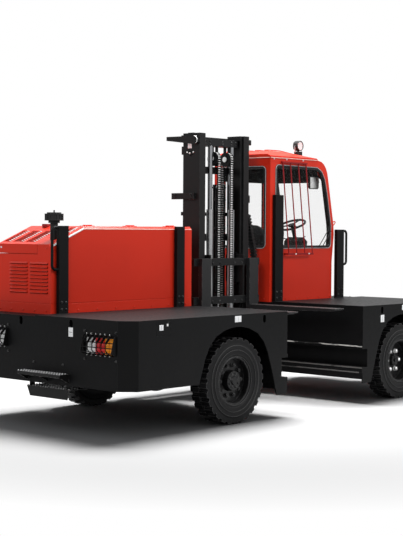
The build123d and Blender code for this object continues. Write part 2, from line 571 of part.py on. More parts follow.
tyre_shape = tyre()
rear_rim = rim(dish=10.0, hub_radius=105.0, hub_out=85.0, studs=10, stud_circle=150.0, stud_radius=14.0, stud_long=30.0)
front_rim = rim(dish=-30.0, hub_radius=70.0, hub_out=30.0, studs=6, stud_circle=115.0, stud_radius=14.0, stud_long=24.0)
WHEELS = (("rear_right", REAR_AXLE_X, -1, "rear"), ("rear_left", REAR_AXLE_X, 1, "rear"),
          ("front_right", FRONT_AXLE_X, -1, "front"), ("front_left", FRONT_AXLE_X, 1, "front"))
for name, axle_x, side_y, kind in WHEELS:
    save(f"tyre_{name}", place_wheel(tyre_shape, axle_x, side_y))
    save(f"rim_{name}", place_wheel(rear_rim if kind == "rear" else front_rim, axle_x, side_y))

# Mast trolley: side plates with rollers in the guide channels, cross beam and lugs for the mast's foot pins
SIDE_GAP = 16.0           # between trolley and well walls
SIDE_PLATE = 30.0
TROLLEY_LOW_Z = 330.0
TROLLEY_HIGH_Z = 600.0
TROLLEY_FRONT_Y = MAST_FACE_Y - 60
TROLLEY_BACK_Y = CHANNEL_INNER_Y - 20
CROSS_Y = (MAST_FACE_Y + 290, MAST_FACE_Y + 490)
ROLLERS_Y = (TROLLEY_FRONT_Y + 80, TROLLEY_BACK_Y - 110)
roller_radius = (CHANNEL_HIGH_Z - CHANNEL_LOW_Z) / 2 - FIT_GAP
roller_z = (CHANNEL_HIGH_Z + CHANNEL_LOW_Z) / 2
LUG_PLATE = 30.0
TILT_BASE = (MAST_FACE_Y + 395, 610.0)     # y, z of the tilt cylinder's foot pin
TILT_EYE = (MAST_BACK_Y + 45, 1090.0)      # y, z of its eye on the mast
TILT_PIN_RADIUS = 12.0
TILT_X = (MAST_REAR_X + UPRIGHT_FLANGE / 2, MAST_FRONT_X - UPRIGHT_FLANGE / 2)
EYE_HALF = 20.0           # half of the width of a cylinder's eye
EAR = 12.0                # thickness of a clevis ear
trolley = block(WELL_REAR_X + SIDE_GAP, WELL_FRONT_X - SIDE_GAP, *CROSS_Y, TROLLEY_LOW_Z, TILT_BASE[1] - 50)
for wall_x, way in ((WELL_REAR_X, 1), (WELL_FRONT_X, -1)):
    side = sorted((wall_x + way * SIDE_GAP, wall_x + way * (SIDE_GAP + SIDE_PLATE)))
    trolley += block(*side, TROLLEY_FRONT_Y, TROLLEY_BACK_Y, TROLLEY_LOW_Z, TROLLEY_HIGH_Z)
    for y in ROLLERS_Y:
        trolley += bar_x(wall_x - way * (CHANNEL_DEPTH - 16), wall_x + way * SIDE_GAP, y, roller_z, roller_radius)
for upright_x, way in ((MAST_REAR_X, -1), (MAST_FRONT_X, 1)):
    lug_x = sorted((upright_x + way * RUN_GAP, upright_x + way * (RUN_GAP + LUG_PLATE)))
    lug = ((CROSS_Y[0] + 20, TROLLEY_LOW_Z), (CROSS_Y[0] + 20, TILT_BASE[1] - 50), (PIVOT_Y, PIVOT_Z + 65),
           (PIVOT_Y - 55, PIVOT_Z + 20), (PIVOT_Y - 55, PIVOT_Z - 30), (PIVOT_Y, PIVOT_Z - 70))
    trolley += prism_x(lug, *lug_x)
    trolley -= bar_x(lug_x[0] - 1, lug_x[1] + 1, PIVOT_Y, PIVOT_Z, PIVOT_RADIUS + FIT_GAP)
for x in TILT_X:
    for side in (-1, 1):
        ear_x = sorted((x + side * (EYE_HALF + 1), x + side * (EYE_HALF + 1 + EAR)))
        trolley += block(*ear_x, TILT_BASE[0] - 30, TILT_BASE[0] + 30, TILT_BASE[1] - 50, TILT_BASE[1] + 30)
    trolley += bar_x(x - EYE_HALF - 1 - EAR, x + EYE_HALF + 1 + EAR, *TILT_BASE, TILT_PIN_RADIUS)
save("reach_trolley", trolley)

# Outer mast: two channels that open towards each other, ties at the back, foot pins and brackets
TIE_BACK_Y = MAST_BACK_Y + 30
FOOT_PLATE = 20.0
foot = block(MAST_REAR_X, MAST_FRONT_X, MAST_BACK_Y, TIE_BACK_Y, MAST_LOW_Z, MAST_LOW_Z + 120)
foot += block(MAST_REAR_X + UPRIGHT_FLANGE, MAST_FRONT_X - UPRIGHT_FLANGE, MAST_FACE_Y + 40, MAST_BACK_Y,
              MAST_LOW_Z, MAST_LOW_Z + FOOT_PLATE)
middle_tie = block(MAST_REAR_X, MAST_FRONT_X, MAST_BACK_Y, TIE_BACK_Y, MAST_TIE_Z, MAST_TIE_Z + 40)
top_tie = block(MAST_REAR_X, MAST_FRONT_X, MAST_BACK_Y, TIE_BACK_Y, MAST_TOP_Z - 90, MAST_TOP_Z - 20)
# plate behind the chains, for hoses and valves, between foot and middle tie
PLATE_RUNS = (96.0, 296.0)    # from the mast's middle
PLATE_Z = (MAST_LOW_Z + 90, 2385.0)
PLATE_THICK = 16.0
hose_plate = block(MAST_MID_X + PLATE_RUNS[0], MAST_MID_X + PLATE_RUNS[1], MAST_BACK_Y + 1, MAST_BACK_Y + 1 + PLATE_THICK,
                   *PLATE_Z)
foot_side = foot + middle_tie + hose_plate
save("outer_mast_ties", foot_side, top_tie)
uprights = []
for web_x, way in ((MAST_REAR_X, 1), (MAST_FRONT_X, -1)):
    upright = block(web_x, web_x + way * UPRIGHT_FLANGE, MAST_FACE_Y, MAST_BACK_Y, MAST_LOW_Z, MAST_TOP_Z)
    upright -= block(web_x + way * UPRIGHT_PLATE, web_x + way * (UPRIGHT_FLANGE + 5), MAST_FACE_Y + UPRIGHT_PLATE,
                     MAST_BACK_Y - UPRIGHT_PLATE, MAST_LOW_Z + FOOT_PLATE, MAST_TOP_Z + 5)
    upright += bar_x(web_x - way * (RUN_GAP + LUG_PLATE + 10), web_x + way * 5, PIVOT_Y, PIVOT_Z, PIVOT_RADIUS)
    x = web_x + way * UPRIGHT_FLANGE / 2
    for side in (-1, 1):
        ear_x = sorted((x + side * (EYE_HALF + 1), x + side * (EYE_HALF + 1 + EAR)))
        upright += block(*ear_x, MAST_BACK_Y, TILT_EYE[0] + 26, TILT_EYE[1] - 30, TILT_EYE[1] + 30)
    upright += bar_x(x - EYE_HALF - 1 - EAR, x + EYE_HALF + 1 + EAR, *TILT_EYE, TILT_PIN_RADIUS)
    uprights.append(upright)
# two brackets on the rear upright's outer face: a short straight one and a long tapered one near the top
BRACKET_OUT = 36.0
BRACKET_LOW = (MAST_TOP_Z - 722, MAST_TOP_Z - 654)
ARM_RADIUS = 45.0
ARM_END_Y = MAST_FACE_Y + 466
arm_y = MAST_FACE_Y + RUN_GAP + ARM_RADIUS
arm_z = MAST_TOP_Z - 80
uprights[0] += block(MAST_REAR_X - BRACKET_OUT, MAST_REAR_X, MAST_FACE_Y + 55, MAST_FACE_Y + 385, *BRACKET_LOW)
arm = prism_x(((arm_y, arm_z - ARM_RADIUS), (ARM_END_Y, arm_z + 5), (ARM_END_Y, arm_z + 49), (arm_y, arm_z + ARM_RADIUS)),
              MAST_REAR_X - BRACKET_OUT, MAST_REAR_X)
uprights[0] += arm + bar_x(MAST_REAR_X - BRACKET_OUT, MAST_REAR_X, arm_y, arm_z, ARM_RADIUS)
save("outer_mast", *uprights)

# Lift cylinders: barrels stand on the foot plate, rods push the inner mast's crosshead
CYLINDER_Y = MAST_FACE_Y + 85
BARREL_TOP_Z = 2100.0
ROD_LOW_Z = 790.0
CROSSHEAD_Z = (2800.0, 2880.0)
cylinders_x = [MAST_MID_X + run for run in CYLINDER_RUNS]
barrels, rods = [], []
for x in cylinders_x:
    floor_z = MAST_LOW_Z + FOOT_PLATE
    barrel = bar_z(x, CYLINDER_Y, floor_z, BARREL_TOP_Z, LIFT_BARREL_RADIUS)
    barrel -= bar_z(x, CYLINDER_Y, floor_z + 12, BARREL_TOP_Z - 40, LIFT_ROD_RADIUS + 5)
    barrel -= bar_z(x, CYLINDER_Y, BARREL_TOP_Z - 41, BARREL_TOP_Z + 1, LIFT_ROD_RADIUS + FIT_GAP)
    barrels.append(barrel)
    rods.append(bar_z(x, CYLINDER_Y, ROD_LOW_Z, CROSSHEAD_Z[0], LIFT_ROD_RADIUS))
save("lift_barrels", *barrels)
save("lift_rods", *rods)

# Inner mast: two channels inside the outer ones, crosshead, back ties, chain sheaves on brackets
inner_face_y = MAST_FACE_Y + UPRIGHT_PLATE + RUN_GAP
inner_back_y = MAST_BACK_Y - UPRIGHT_PLATE - RUN_GAP
INNER_TIE = 14.0
SHEAVE_Y = MAST_FACE_Y + 85
SHEAVE_HALF = CHAIN_WIDTH / 2 + 8
SHEAVE_DISC = 6.0
chains_x = [MAST_MID_X + run for run in CHAIN_RUNS]
inner_webs = ((MAST_REAR_X + INNER_RAIL_OFFSET, 1), (MAST_FRONT_X - INNER_RAIL_OFFSET, -1))
inner_tips = (inner_webs[0][0] + INNER_RAIL_FLANGE, inner_webs[1][0] - INNER_RAIL_FLANGE)
crosshead = block(*inner_tips, SHEAVE_Y - 20, inner_back_y, *CROSSHEAD_Z)
inner_ties = []
for low, high in ((INNER_LOW_Z + 20, INNER_LOW_Z + 120), (1750, 1830), (2500, 2580)):
    inner_ties.append(block(MAST_REAR_X + UPRIGHT_FLANGE + RUN_GAP, MAST_FRONT_X - UPRIGHT_FLANGE - RUN_GAP,
                            inner_back_y, inner_back_y + INNER_TIE, low, high))
inner_rails = []
for web_x, way in inner_webs:
    rail = block(web_x, web_x + way * INNER_RAIL_FLANGE, inner_face_y, inner_back_y, INNER_LOW_Z, MAST_TOP_Z)
    rail -= block(web_x + way * INNER_RAIL_PLATE, web_x + way * (INNER_RAIL_FLANGE + 5),
                  inner_face_y + INNER_RAIL_PLATE, inner_back_y - INNER_RAIL_PLATE, INNER_LOW_Z - 5, MAST_TOP_Z - 50)
    for z in (INNER_LOW_Z + 110, INNER_LOW_Z + 440):
        rail += bar_x(web_x - way * 37, web_x + way * 5, PIVOT_Y, z, MAST_DEPTH / 2 - UPRIGHT_PLATE - FIT_GAP)
    inner_rails.append(rail)
for x in chains_x:
    for side in (-1, 1):
        disc_x = sorted((x + side * (CHAIN_WIDTH / 2 + FIT_GAP), x + side * (CHAIN_WIDTH / 2 + FIT_GAP + SHEAVE_DISC)))
        crosshead += bar_x(*disc_x, SHEAVE_Y, SHEAVE_Z, SHEAVE_RADIUS + CHAIN_THICK / 2 + 2)
        plate_x = sorted((x + side * SHEAVE_HALF, x + side * (SHEAVE_HALF + 8)))
        crosshead += block(*plate_x, SHEAVE_Y - 20, SHEAVE_Y + 20, SHEAVE_Z - 25, CROSSHEAD_Z[0])
    crosshead += bar_x(x - SHEAVE_HALF - 10, x + SHEAVE_HALF + 2, SHEAVE_Y, SHEAVE_Z, 15)
    crosshead += bar_x(x - CHAIN_WIDTH / 2 - 1, x + CHAIN_WIDTH / 2 + 1, SHEAVE_Y, SHEAVE_Z,
                       SHEAVE_RADIUS - CHAIN_THICK / 2 - FIT_GAP)
save("inner_mast", *inner_rails)
save("inner_mast_ties", crosshead, *inner_ties)

# Lift chains over the sheaves
CHAIN_FRONT_LOW_Z = 1100.0
CHAIN_BACK_LOW_Z = 900.0
chains = []
for x in chains_x:
    edges = (x - CHAIN_WIDTH / 2, x + CHAIN_WIDTH / 2)
    inside, outside = SHEAVE_RADIUS - CHAIN_THICK / 2, SHEAVE_RADIUS + CHAIN_THICK / 2
    wrap = bar_x(*edges, SHEAVE_Y, SHEAVE_Z, outside) - bar_x(edges[0] - 1, edges[1] + 1, SHEAVE_Y, SHEAVE_Z, inside)
    wrap -= block(edges[0] - 1, edges[1] + 1, SHEAVE_Y - 2 * outside, SHEAVE_Y + 2 * outside, SHEAVE_Z - 2 * outside, SHEAVE_Z)
    wrap += block(*edges, SHEAVE_Y - outside, SHEAVE_Y - inside, CHAIN_FRONT_LOW_Z, SHEAVE_Z)
    wrap += block(*edges, SHEAVE_Y + inside, SHEAVE_Y + outside, CHAIN_BACK_LOW_Z, SHEAVE_Z)
    # the gaps between the links of the front strand
    for link in range(int((SHEAVE_Z - CHAIN_FRONT_LOW_Z) / CHAIN_PITCH)):
        low = CHAIN_FRONT_LOW_Z + CHAIN_PITCH * (link + 0.7)
        wrap -= block(edges[0] - 1, edges[1] + 1, SHEAVE_Y - outside - 1, SHEAVE_Y - outside + 5, low, low + CHAIN_PITCH * 0.3)
    chains.append(wrap)
save("lift_chains", *chains)

# Tilt cylinders between trolley and outer mast, along the line from foot pin to eye
tilt_run = (TILT_EYE[0] - TILT_BASE[0], TILT_EYE[1] - TILT_BASE[1])
TILT_LENGTH = hypot(*tilt_run)
TILT_BARREL_RADIUS = 36.0
TILT_ROD_RADIUS = 18.0
TILT_BARREL_END = 350.0
TILT_EYE_GAP = 3.0        # slack at the open eye
tilt_barrels, tilt_rods = [], []
for x in TILT_X:
    along = Location(Plane(origin=(x, *TILT_BASE), x_dir=(1, 0, 0), z_dir=(0, *tilt_run)))
    barrel = bar_z(0, 0, 56, TILT_BARREL_END, TILT_BARREL_RADIUS) + bar_x(-EYE_HALF, EYE_HALF, 0, 0, 28)
    barrel += block(-EYE_HALF, EYE_HALF, -20, 20, 0, 60)
    barrel -= bar_x(-EYE_HALF - 1, EYE_HALF + 1, 0, 0, TILT_PIN_RADIUS + FIT_GAP)
    barrel -= bar_z(0, 0, 80, TILT_BARREL_END - 30, TILT_ROD_RADIUS + 6)
    barrel -= bar_z(0, 0, 80, TILT_BARREL_END + 1, TILT_ROD_RADIUS + FIT_GAP)
    rod = bar_z(0, 0, 150, TILT_LENGTH - 20, TILT_ROD_RADIUS) + bar_x(-EYE_HALF, EYE_HALF, 0, TILT_LENGTH, 28)
    rod -= bar_x(-EYE_HALF - 1, EYE_HALF + 1, 0, TILT_LENGTH, TILT_PIN_RADIUS + TILT_EYE_GAP)
    tilt_barrels.append(along * barrel)
    tilt_rods.append(along * rod)
save("tilt_barrels", *tilt_barrels)
save("tilt_rods", *tilt_rods)

# Fork carriage: two bars, side plates with rollers in the inner rails
carriage_face_y = MAST_FACE_Y - RUN_GAP - CARRIAGE_BAR
carriage_back_y = MAST_FACE_Y - RUN_GAP
FORK_LOW_Z = FORK_TOP_Z - FORK_THICK
BAR_HEIGHT = 80.0
BARS_Z = (FORK_TOP_Z + 20, CARRIAGE_HIGH_Z - BAR_HEIGHT - 40)
CARRIAGE_STEP_Z = 1290.0
CARRIAGE_ROLLERS_Z = (1350.0, 1540.0)
carriage_x = (MAST_MID_X - CARRIAGE_WIDTH / 2, MAST_MID_X + CARRIAGE_WIDTH / 2)
bars = [block(*carriage_x, carriage_face_y, carriage_back_y, low, low + BAR_HEIGHT) for low in BARS_Z]
save("fork_bars", *bars)
cheeks = []
for web_x, way in inner_webs:
    tip_x = web_x + way * INNER_RAIL_FLANGE
    cheek_x = sorted((tip_x + way * RUN_GAP, tip_x + way * (RUN_GAP + 20)))
    cheek_low = BARS_Z[0] + BAR_HEIGHT
    cheek = ((carriage_face_y, cheek_low), (carriage_back_y, cheek_low), (carriage_back_y, CARRIAGE_STEP_Z),
             (inner_back_y - 12, CARRIAGE_STEP_Z), (inner_back_y - 12, CARRIAGE_HIGH_Z), (carriage_face_y, CARRIAGE_HIGH_Z))
    side_plate = prism_x(cheek, *cheek_x)
    side_plate -= block(*cheek_x, carriage_face_y - 1, carriage_back_y, BARS_Z[1], BARS_Z[1] + BAR_HEIGHT)
    for z in CARRIAGE_ROLLERS_Z:
        side_plate += bar_x(web_x + way * (INNER_RAIL_PLATE + RUN_GAP), tip_x - way * 5, PIVOT_Y, z,
                          (inner_back_y - inner_face_y) / 2 - INNER_RAIL_PLATE - FIT_GAP)
        side_plate += bar_x(tip_x - way * 6, tip_x + way * (RUN_GAP + 1), PIVOT_Y, z, 20)
    cheeks.append(side_plate)
save("fork_carriage", *cheeks)

# Forks
forks = []
for x in (MAST_MID_X - FORK_SPREAD, MAST_MID_X + FORK_SPREAD):
    heel_y = carriage_face_y
    shape = ((heel_y, BARS_Z[1] + BAR_HEIGHT), (heel_y, FORK_LOW_Z), (heel_y - FORK_THICK - FORK_LENGTH + 60, FORK_TOP_Z - 30),
             (heel_y - FORK_THICK - FORK_LENGTH, FORK_TOP_Z - 12), (heel_y - FORK_THICK - FORK_LENGTH, FORK_TOP_Z),
             (heel_y - FORK_THICK, FORK_TOP_Z), (heel_y - FORK_THICK, BARS_Z[1] + BAR_HEIGHT))
    forks.append(prism_x(shape, x - FORK_WIDTH / 2, x + FORK_WIDTH / 2))
save("forks", *forks)

# Hose carrier beside the mast: a bowed chain of links, held by the front upright
CARRIER_LINE = ((31, 2030), (58, 1940), (90, 1830), (118, 1730), (142, 1640), (156, 1540), (158, 1430), (144, 1310),
                (112, 1200))   # x from the mast's front upright, z
CARRIER_Y = MAST_FACE_Y + 45
CARRIER_WIDTH = 70.0
CARRIER_LINK = 46.0
CARRIER_STEP = 38.0
carrier = block(MAST_FRONT_X, MAST_FRONT_X + 40, CARRIER_Y - 25, CARRIER_Y + 25, 2025, 2055)
left_over = 0.0
for (x0, z0), (x1, z1) in zip(CARRIER_LINE, CARRIER_LINE[1:]):
    run = hypot(x1 - x0, z1 - z0)
    lean = Rot(0, 90 + 57.2958 * atan2(z0 - z1, x1 - x0), 0)
    carrier += Pos(MAST_FRONT_X + (x0 + x1) / 2, CARRIER_Y, (z0 + z1) / 2) * lean * Box(24, CARRIER_WIDTH - 12, run + 12)
    while left_over < run:
        share = left_over / run
        spot = Pos(MAST_FRONT_X + x0 + (x1 - x0) * share, CARRIER_Y, z0 + (z1 - z0) * share)
        carrier += spot * lean * Box(CARRIER_LINK, CARRIER_WIDTH, CARRIER_STEP * 0.6)
        left_over += CARRIER_STEP
    left_over -= run
save("hose_carrier", carrier)

# Cab: hollow shell with its windows and door opening cut
# Side outline (x, z) of the nose, from the foot round the curved front to the roof
CAB_NOSE = ((0, 0), (0, 450), (38, 770), (30, 890), (-46, 1250), (-88, 1450), (-104, 1510), (-132, 1565), (-172, 1610),
            (-222, 1638), (-280, 1647))
cab_outline = [(CAB_REAR_X, FRAME_Z)] + [(CAB_FRONT_X + x, FRAME_Z + z) for x, z in CAB_NOSE] + [(CAB_REAR_X, CAB_ROOF_Z)]
side_face = Polygon(*cab_outline, align=None)
cab = slab_y(side_face, CAB_RIGHT_Y, CAB_LEFT_Y)
cab -= slab_y(grow(side_face, -CAB_WALL), CAB_RIGHT_Y + CAB_WALL, CAB_LEFT_Y - CAB_WALL)
# windows: the side window's outline from the cab's rear or front (x, z), then the rear one (y, z) and the front one
WINDOW_RADIUS = 60.0
SIDE_PANE = ((CAB_REAR_X + 88, SILL_Z), (CAB_FRONT_X - 26, SILL_Z), (CAB_FRONT_X - 22, SILL_Z + 270),
             (CAB_FRONT_X - 100, SILL_Z + 650), (CAB_FRONT_X - 152, SILL_Z + 830), (CAB_FRONT_X - 210, SILL_Z + 915),
             (CAB_FRONT_X - 300, WINDOW_TOP_Z - 8), (CAB_REAR_X + 88, WINDOW_TOP_Z))
PANE_MARGIN = 60.0
side_pane = Polygon(*SIDE_PANE, align=None)
side_pane = fillet(side_pane.vertices(), WINDOW_RADIUS)
rear_pane = Pos((CAB_RIGHT_Y + CAB_LEFT_Y) / 2, (SILL_Z + WINDOW_TOP_Z - 20) / 2) * RectangleRounded(
    CAB_WIDTH - 2 * PANE_MARGIN, WINDOW_TOP_Z - 20 - SILL_Z, WINDOW_RADIUS)
FRONT_PANE_Z = (SILL_Z - 100, WINDOW_TOP_Z - 110)
front_pane = Pos((CAB_RIGHT_Y + CAB_LEFT_Y) / 2, sum(FRONT_PANE_Z) / 2) * RectangleRounded(
    CAB_WIDTH - 2 * PANE_MARGIN, FRONT_PANE_Z[1] - FRONT_PANE_Z[0], WINDOW_RADIUS)
front_x = (CAB_FRONT_X - 190, CAB_FRONT_X + 100)
side_y = (CAB_RIGHT_Y - SEAL_PROUD, CAB_RIGHT_Y + CAB_WALL + SEAL_PROUD)
rear_x = (CAB_REAR_X - SEAL_PROUD, CAB_REAR_X + CAB_WALL + SEAL_PROUD)
WINDOW_Y = (CAB_RIGHT_Y + CAB_WALL / 2 - GLASS / 2, CAB_RIGHT_Y + CAB_WALL / 2 + GLASS / 2)
window_x = (CAB_REAR_X + CAB_WALL / 2 - GLASS / 2, CAB_REAR_X + CAB_WALL / 2 + GLASS / 2)
glass_band = grow(side_face, -CAB_WALL / 2 + GLASS / 2) - grow(side_face, -CAB_WALL / 2 - GLASS / 2)
seal_band = grow(side_face, SEAL_PROUD) - grow(side_face, -CAB_WALL - SEAL_PROUD)
cab -= slab_y(side_pane, CAB_RIGHT_Y - 10, CAB_RIGHT_Y + CAB_WALL + 10)
cab -= slab_x(rear_pane, CAB_REAR_X - 10, CAB_REAR_X + CAB_WALL + 10)
cab -= slab_x(front_pane, *front_x)
cab -= block(DOOR_REAR_X, DOOR_FRONT_X, CAB_LEFT_Y - CAB_WALL - 5, CAB_LEFT_Y + 5, DOOR_LOW_Z, DOOR_TOP_Z)
glass_side = slab_y(grow(side_pane, -SEAL / 2), *WINDOW_Y)
glass_rear = slab_x(grow(rear_pane, -SEAL / 2), *window_x)
glass_front = slab_y(glass_band, CAB_RIGHT_Y, CAB_LEFT_Y) & slab_x(grow(front_pane, -SEAL / 2), *front_x)
seal_side = slab_y(side_pane - grow(side_pane, -SEAL), *side_y) - glass_side
seal_rear = slab_x(rear_pane - grow(rear_pane, -SEAL), *rear_x) - glass_rear
seal_front = slab_y(seal_band, CAB_RIGHT_Y, CAB_LEFT_Y) & slab_x(front_pane - grow(front_pane, -SEAL), *front_x)
seal_front -= glass_front
HINGE_RADIUS = 10.0
HINGE_X = DOOR_FRONT_X + 2
HINGE_Y = CAB_LEFT_Y + HINGE_RADIUS + 2
HINGES_Z = (1300.0, 2400.0)
HINGE_LONG = 60.0
for z in HINGES_Z:
    low = z - FIT_GAP - HINGE_LONG
    cab += bar_z(HINGE_X, HINGE_Y, low, low + HINGE_LONG, HINGE_RADIUS)
    cab += block(HINGE_X, HINGE_X + 45, CAB_LEFT_Y, CAB_LEFT_Y + 8, low, low + HINGE_LONG)
save("cab_shell", cab)
save("cab_glass", glass_side, glass_rear, glass_front)
save("window_seals", seal_side, seal_rear, seal_front)

# Roof: flat over the seat, falling towards the nose, with ribs along it
ROOF_SIDE = 12.0
ROOF_FLAT = 330.0         # from the roof's rear end
ROOF_EDGE = 25.0
ROOF_SHOULDER = 110.0
ROOF_RIBS = 5
RIB_WIDTH = 50.0
RIB_RISE = 14.0
roof_y = (CAB_RIGHT_Y - ROOF_SIDE, CAB_LEFT_Y + ROOF_SIDE)
roof_x = (CAB_REAR_X - 20, CAB_FRONT_X - 290)
crown_z = CAB_ROOF_Z + ROOF_RISE - 4
crown = ((roof_y[0], CAB_ROOF_Z), (roof_y[1], CAB_ROOF_Z), (roof_y[1], CAB_ROOF_Z + ROOF_EDGE),
         (roof_y[1] - ROOF_SHOULDER, crown_z), (roof_y[0] + ROOF_SHOULDER, crown_z), (roof_y[0], CAB_ROOF_Z + ROOF_EDGE))
fall = ((roof_x[0], CAB_ROOF_Z), (roof_x[0], CAB_ROOF_Z + ROOF_EDGE + 20), (roof_x[0] + 90, crown_z),
        (roof_x[0] + ROOF_FLAT, crown_z), (roof_x[1] - 40, CAB_ROOF_Z + ROOF_EDGE), (roof_x[1], CAB_ROOF_Z))
roof = prism_x(crown, *roof_x) & prism_y(fall, *roof_y)
ridge = ((roof_x[0] + 60, CAB_ROOF_Z + ROOF_EDGE), (roof_x[0] + 110, crown_z + RIB_RISE),
         (roof_x[0] + ROOF_FLAT, crown_z + RIB_RISE), (roof_x[1] - 70, CAB_ROOF_Z + ROOF_EDGE + 18),
         (roof_x[1] - 60, CAB_ROOF_Z + 5))
for rib in range(ROOF_RIBS):
    y = roof_y[0] + ROOF_SHOULDER + 40 + (roof_y[1] - roof_y[0] - 2 * ROOF_SHOULDER - 80) * rib / (ROOF_RIBS - 1)
    roof += prism_y(ridge, y - RIB_WIDTH / 2, y + RIB_WIDTH / 2)
save("cab_roof", roof)

# Door on the left, hung at its front edge
door = block(DOOR_REAR_X + DOOR_GAP, DOOR_FRONT_X - DOOR_GAP, CAB_LEFT_Y - DOOR_SKIN, CAB_LEFT_Y,
             DOOR_LOW_Z + DOOR_GAP, DOOR_TOP_Z - DOOR_GAP)
door_pane = (DOOR_REAR_X + 70, DOOR_FRONT_X - 70, SILL_Z, DOOR_TOP_Z - 70)
door -= block(door_pane[0], door_pane[1], CAB_LEFT_Y - DOOR_SKIN - 5, CAB_LEFT_Y + 5, door_pane[2], door_pane[3])
for z in HINGES_Z:
    door += bar_z(HINGE_X, HINGE_Y, z, z + HINGE_LONG, HINGE_RADIUS)
    door += block(HINGE_X - 60, HINGE_X, CAB_LEFT_Y, CAB_LEFT_Y + 8, z, z + HINGE_LONG)
door += block(DOOR_REAR_X + 25, DOOR_REAR_X + 55, CAB_LEFT_Y, CAB_LEFT_Y + 35, 1500, 1620)
save("cab_door", door)
door_mid = CAB_LEFT_Y - DOOR_SKIN / 2
save("door_glass", block(door_pane[0], door_pane[1], door_mid - GLASS / 2, door_mid + GLASS / 2,
                         door_pane[2], door_pane[3]))

# Guard rods outside the load-side window: they lean forward, and stand off at the foot
ROD_RADIUS = 7.0
ROD_TOP_Z = 2655.0
ROD_LOW_Z = 1600.0
# from the cab's rear wall: upper end, lower end
ROD_RUNS = ((199.0, 268.0), (338.0, 417.0), (487.0, 568.0), (630.0, 712.0))
ROD_OUT = (20.0, 66.0)    # upper and lower end, from the cab's side
top_y = CAB_RIGHT_Y - ROD_OUT[0]
low_y = CAB_RIGHT_Y - ROD_OUT[1]
rods_x = (CAB_REAR_X + ROD_RUNS[0][0] - 12, CAB_REAR_X + ROD_RUNS[-1][1] + 12)
rails = block(rods_x[0] + 60, rods_x[1], low_y - 8, low_y + 8, ROD_LOW_Z - 10, ROD_LOW_Z + 10)
rails += block(rods_x[0], rods_x[1] - 70, top_y - 8, CAB_RIGHT_Y, ROD_TOP_Z - 8, ROD_TOP_Z + 10)
for x in (rods_x[0] + 70, rods_x[1] - 20):
    rails += block(x, x + 12, low_y, CAB_RIGHT_Y, ROD_LOW_Z - 8, ROD_LOW_Z + 8)
for top_run, low_run in ROD_RUNS:
    rails += round_bar((CAB_REAR_X + low_run, low_y, ROD_LOW_Z), (CAB_REAR_X + top_run, top_y, ROD_TOP_Z), ROD_RADIUS)
save("cab_guard_rods", rails)

# Seat
FLOOR_Z = FRAME_Z + CAB_WALL
SEAT_RUN = 450.0          # seat's middle, from the cab's rear wall
SEAT_LONG = 440.0
SEAT_WIDTH = 460.0
SEAT_HEIGHT = 300.0
CUSHION_THICK = 110.0
BACK_THICK = 100.0
BACK_TOP = 860.0          # above the cab's floor
seat_x = CAB_REAR_X + SEAT_RUN
seat_y = (CAB_RIGHT_Y + CAB_LEFT_Y) / 2
seat_top = FLOOR_Z + SEAT_HEIGHT
seat_ends = (seat_x - SEAT_LONG / 2, seat_x + SEAT_LONG / 2)
save("seat_base", block(seat_ends[0], seat_ends[1] - 20, seat_y - SEAT_WIDTH / 2 + 20, seat_y + SEAT_WIDTH / 2 - 20,
                        FLOOR_Z, seat_top))
cushion = block(*seat_ends, seat_y - SEAT_WIDTH / 2, seat_y + SEAT_WIDTH / 2, seat_top, seat_top + CUSHION_THICK)
back = block(seat_ends[0] - BACK_THICK, seat_ends[0], seat_y - SEAT_WIDTH / 2 + 10, seat_y + SEAT_WIDTH / 2 - 10,
             seat_top + 30, FLOOR_Z + BACK_TOP)
save("seat_cushions", fillet(cushion.edges(), 35), fillet(back.edges(), 35))

# Steering column and wheel
COLUMN_RUN = 192.0        # column's rear face, behind the cab's front
COLUMN_LONG = 120.0
COLUMN_HEIGHT = 560.0
STEERING_RADIUS = 165.0
STEERING_TUBE = 13.0
STEERING_HEIGHT = 850.0   # above the cab's floor
WHEEL_TILT = 22.0
column_x = CAB_FRONT_X - COLUMN_RUN
column = block(column_x, column_x + COLUMN_LONG, seat_y - COLUMN_LONG / 2, seat_y + COLUMN_LONG / 2,
               FLOOR_Z, FLOOR_Z + COLUMN_HEIGHT)
head = Location((column_x - 50, seat_y, FLOOR_Z + STEERING_HEIGHT), (0, -WHEEL_TILT, 0))
column += head * (Pos(0, 0, -STEERING_RADIUS) * Cylinder(22, 2 * STEERING_RADIUS))
column += head * Torus(STEERING_RADIUS, STEERING_TUBE)
column += head * Pos(0, 0, -4) * Cylinder(45, 24)
for turn in (0, 120, 240):
    column += head * Rot(0, 0, turn) * Pos(STEERING_RADIUS / 2, 0, 0) * Box(STEERING_RADIUS - 15, 22, 10)
save("steering_column", column)

# Console with its levers
CONSOLE_RUN = (538.0, 848.0)  # from the cab's rear wall
CONSOLE_WIDTH = 145.0
CONSOLE_HEIGHT = 520.0
LEVERS = 4
LEVER_PITCH = 55.0
LEVER_RADIUS = 6.0
KNOB_RADIUS = 17.0
console_y = CAB_RIGHT_Y + CAB_WALL + SEAL_PROUD
lever_y = console_y + CONSOLE_WIDTH * 0.6
console = block(CAB_REAR_X + CONSOLE_RUN[0], CAB_REAR_X + CONSOLE_RUN[1], console_y, console_y + CONSOLE_WIDTH,
                FLOOR_Z, FLOOR_Z + CONSOLE_HEIGHT)
for lever in range(LEVERS):
    x = CAB_REAR_X + CONSOLE_RUN[0] + 70 + LEVER_PITCH * lever
    lever_top = FLOOR_Z + CONSOLE_HEIGHT + 125
    console += bar_z(x, lever_y, FLOOR_Z + CONSOLE_HEIGHT - 5, lever_top, LEVER_RADIUS)
    console += Pos(x, lever_y, lever_top + KNOB_RADIUS / 2) * Sphere(KNOB_RADIUS)
save("control_console", console)

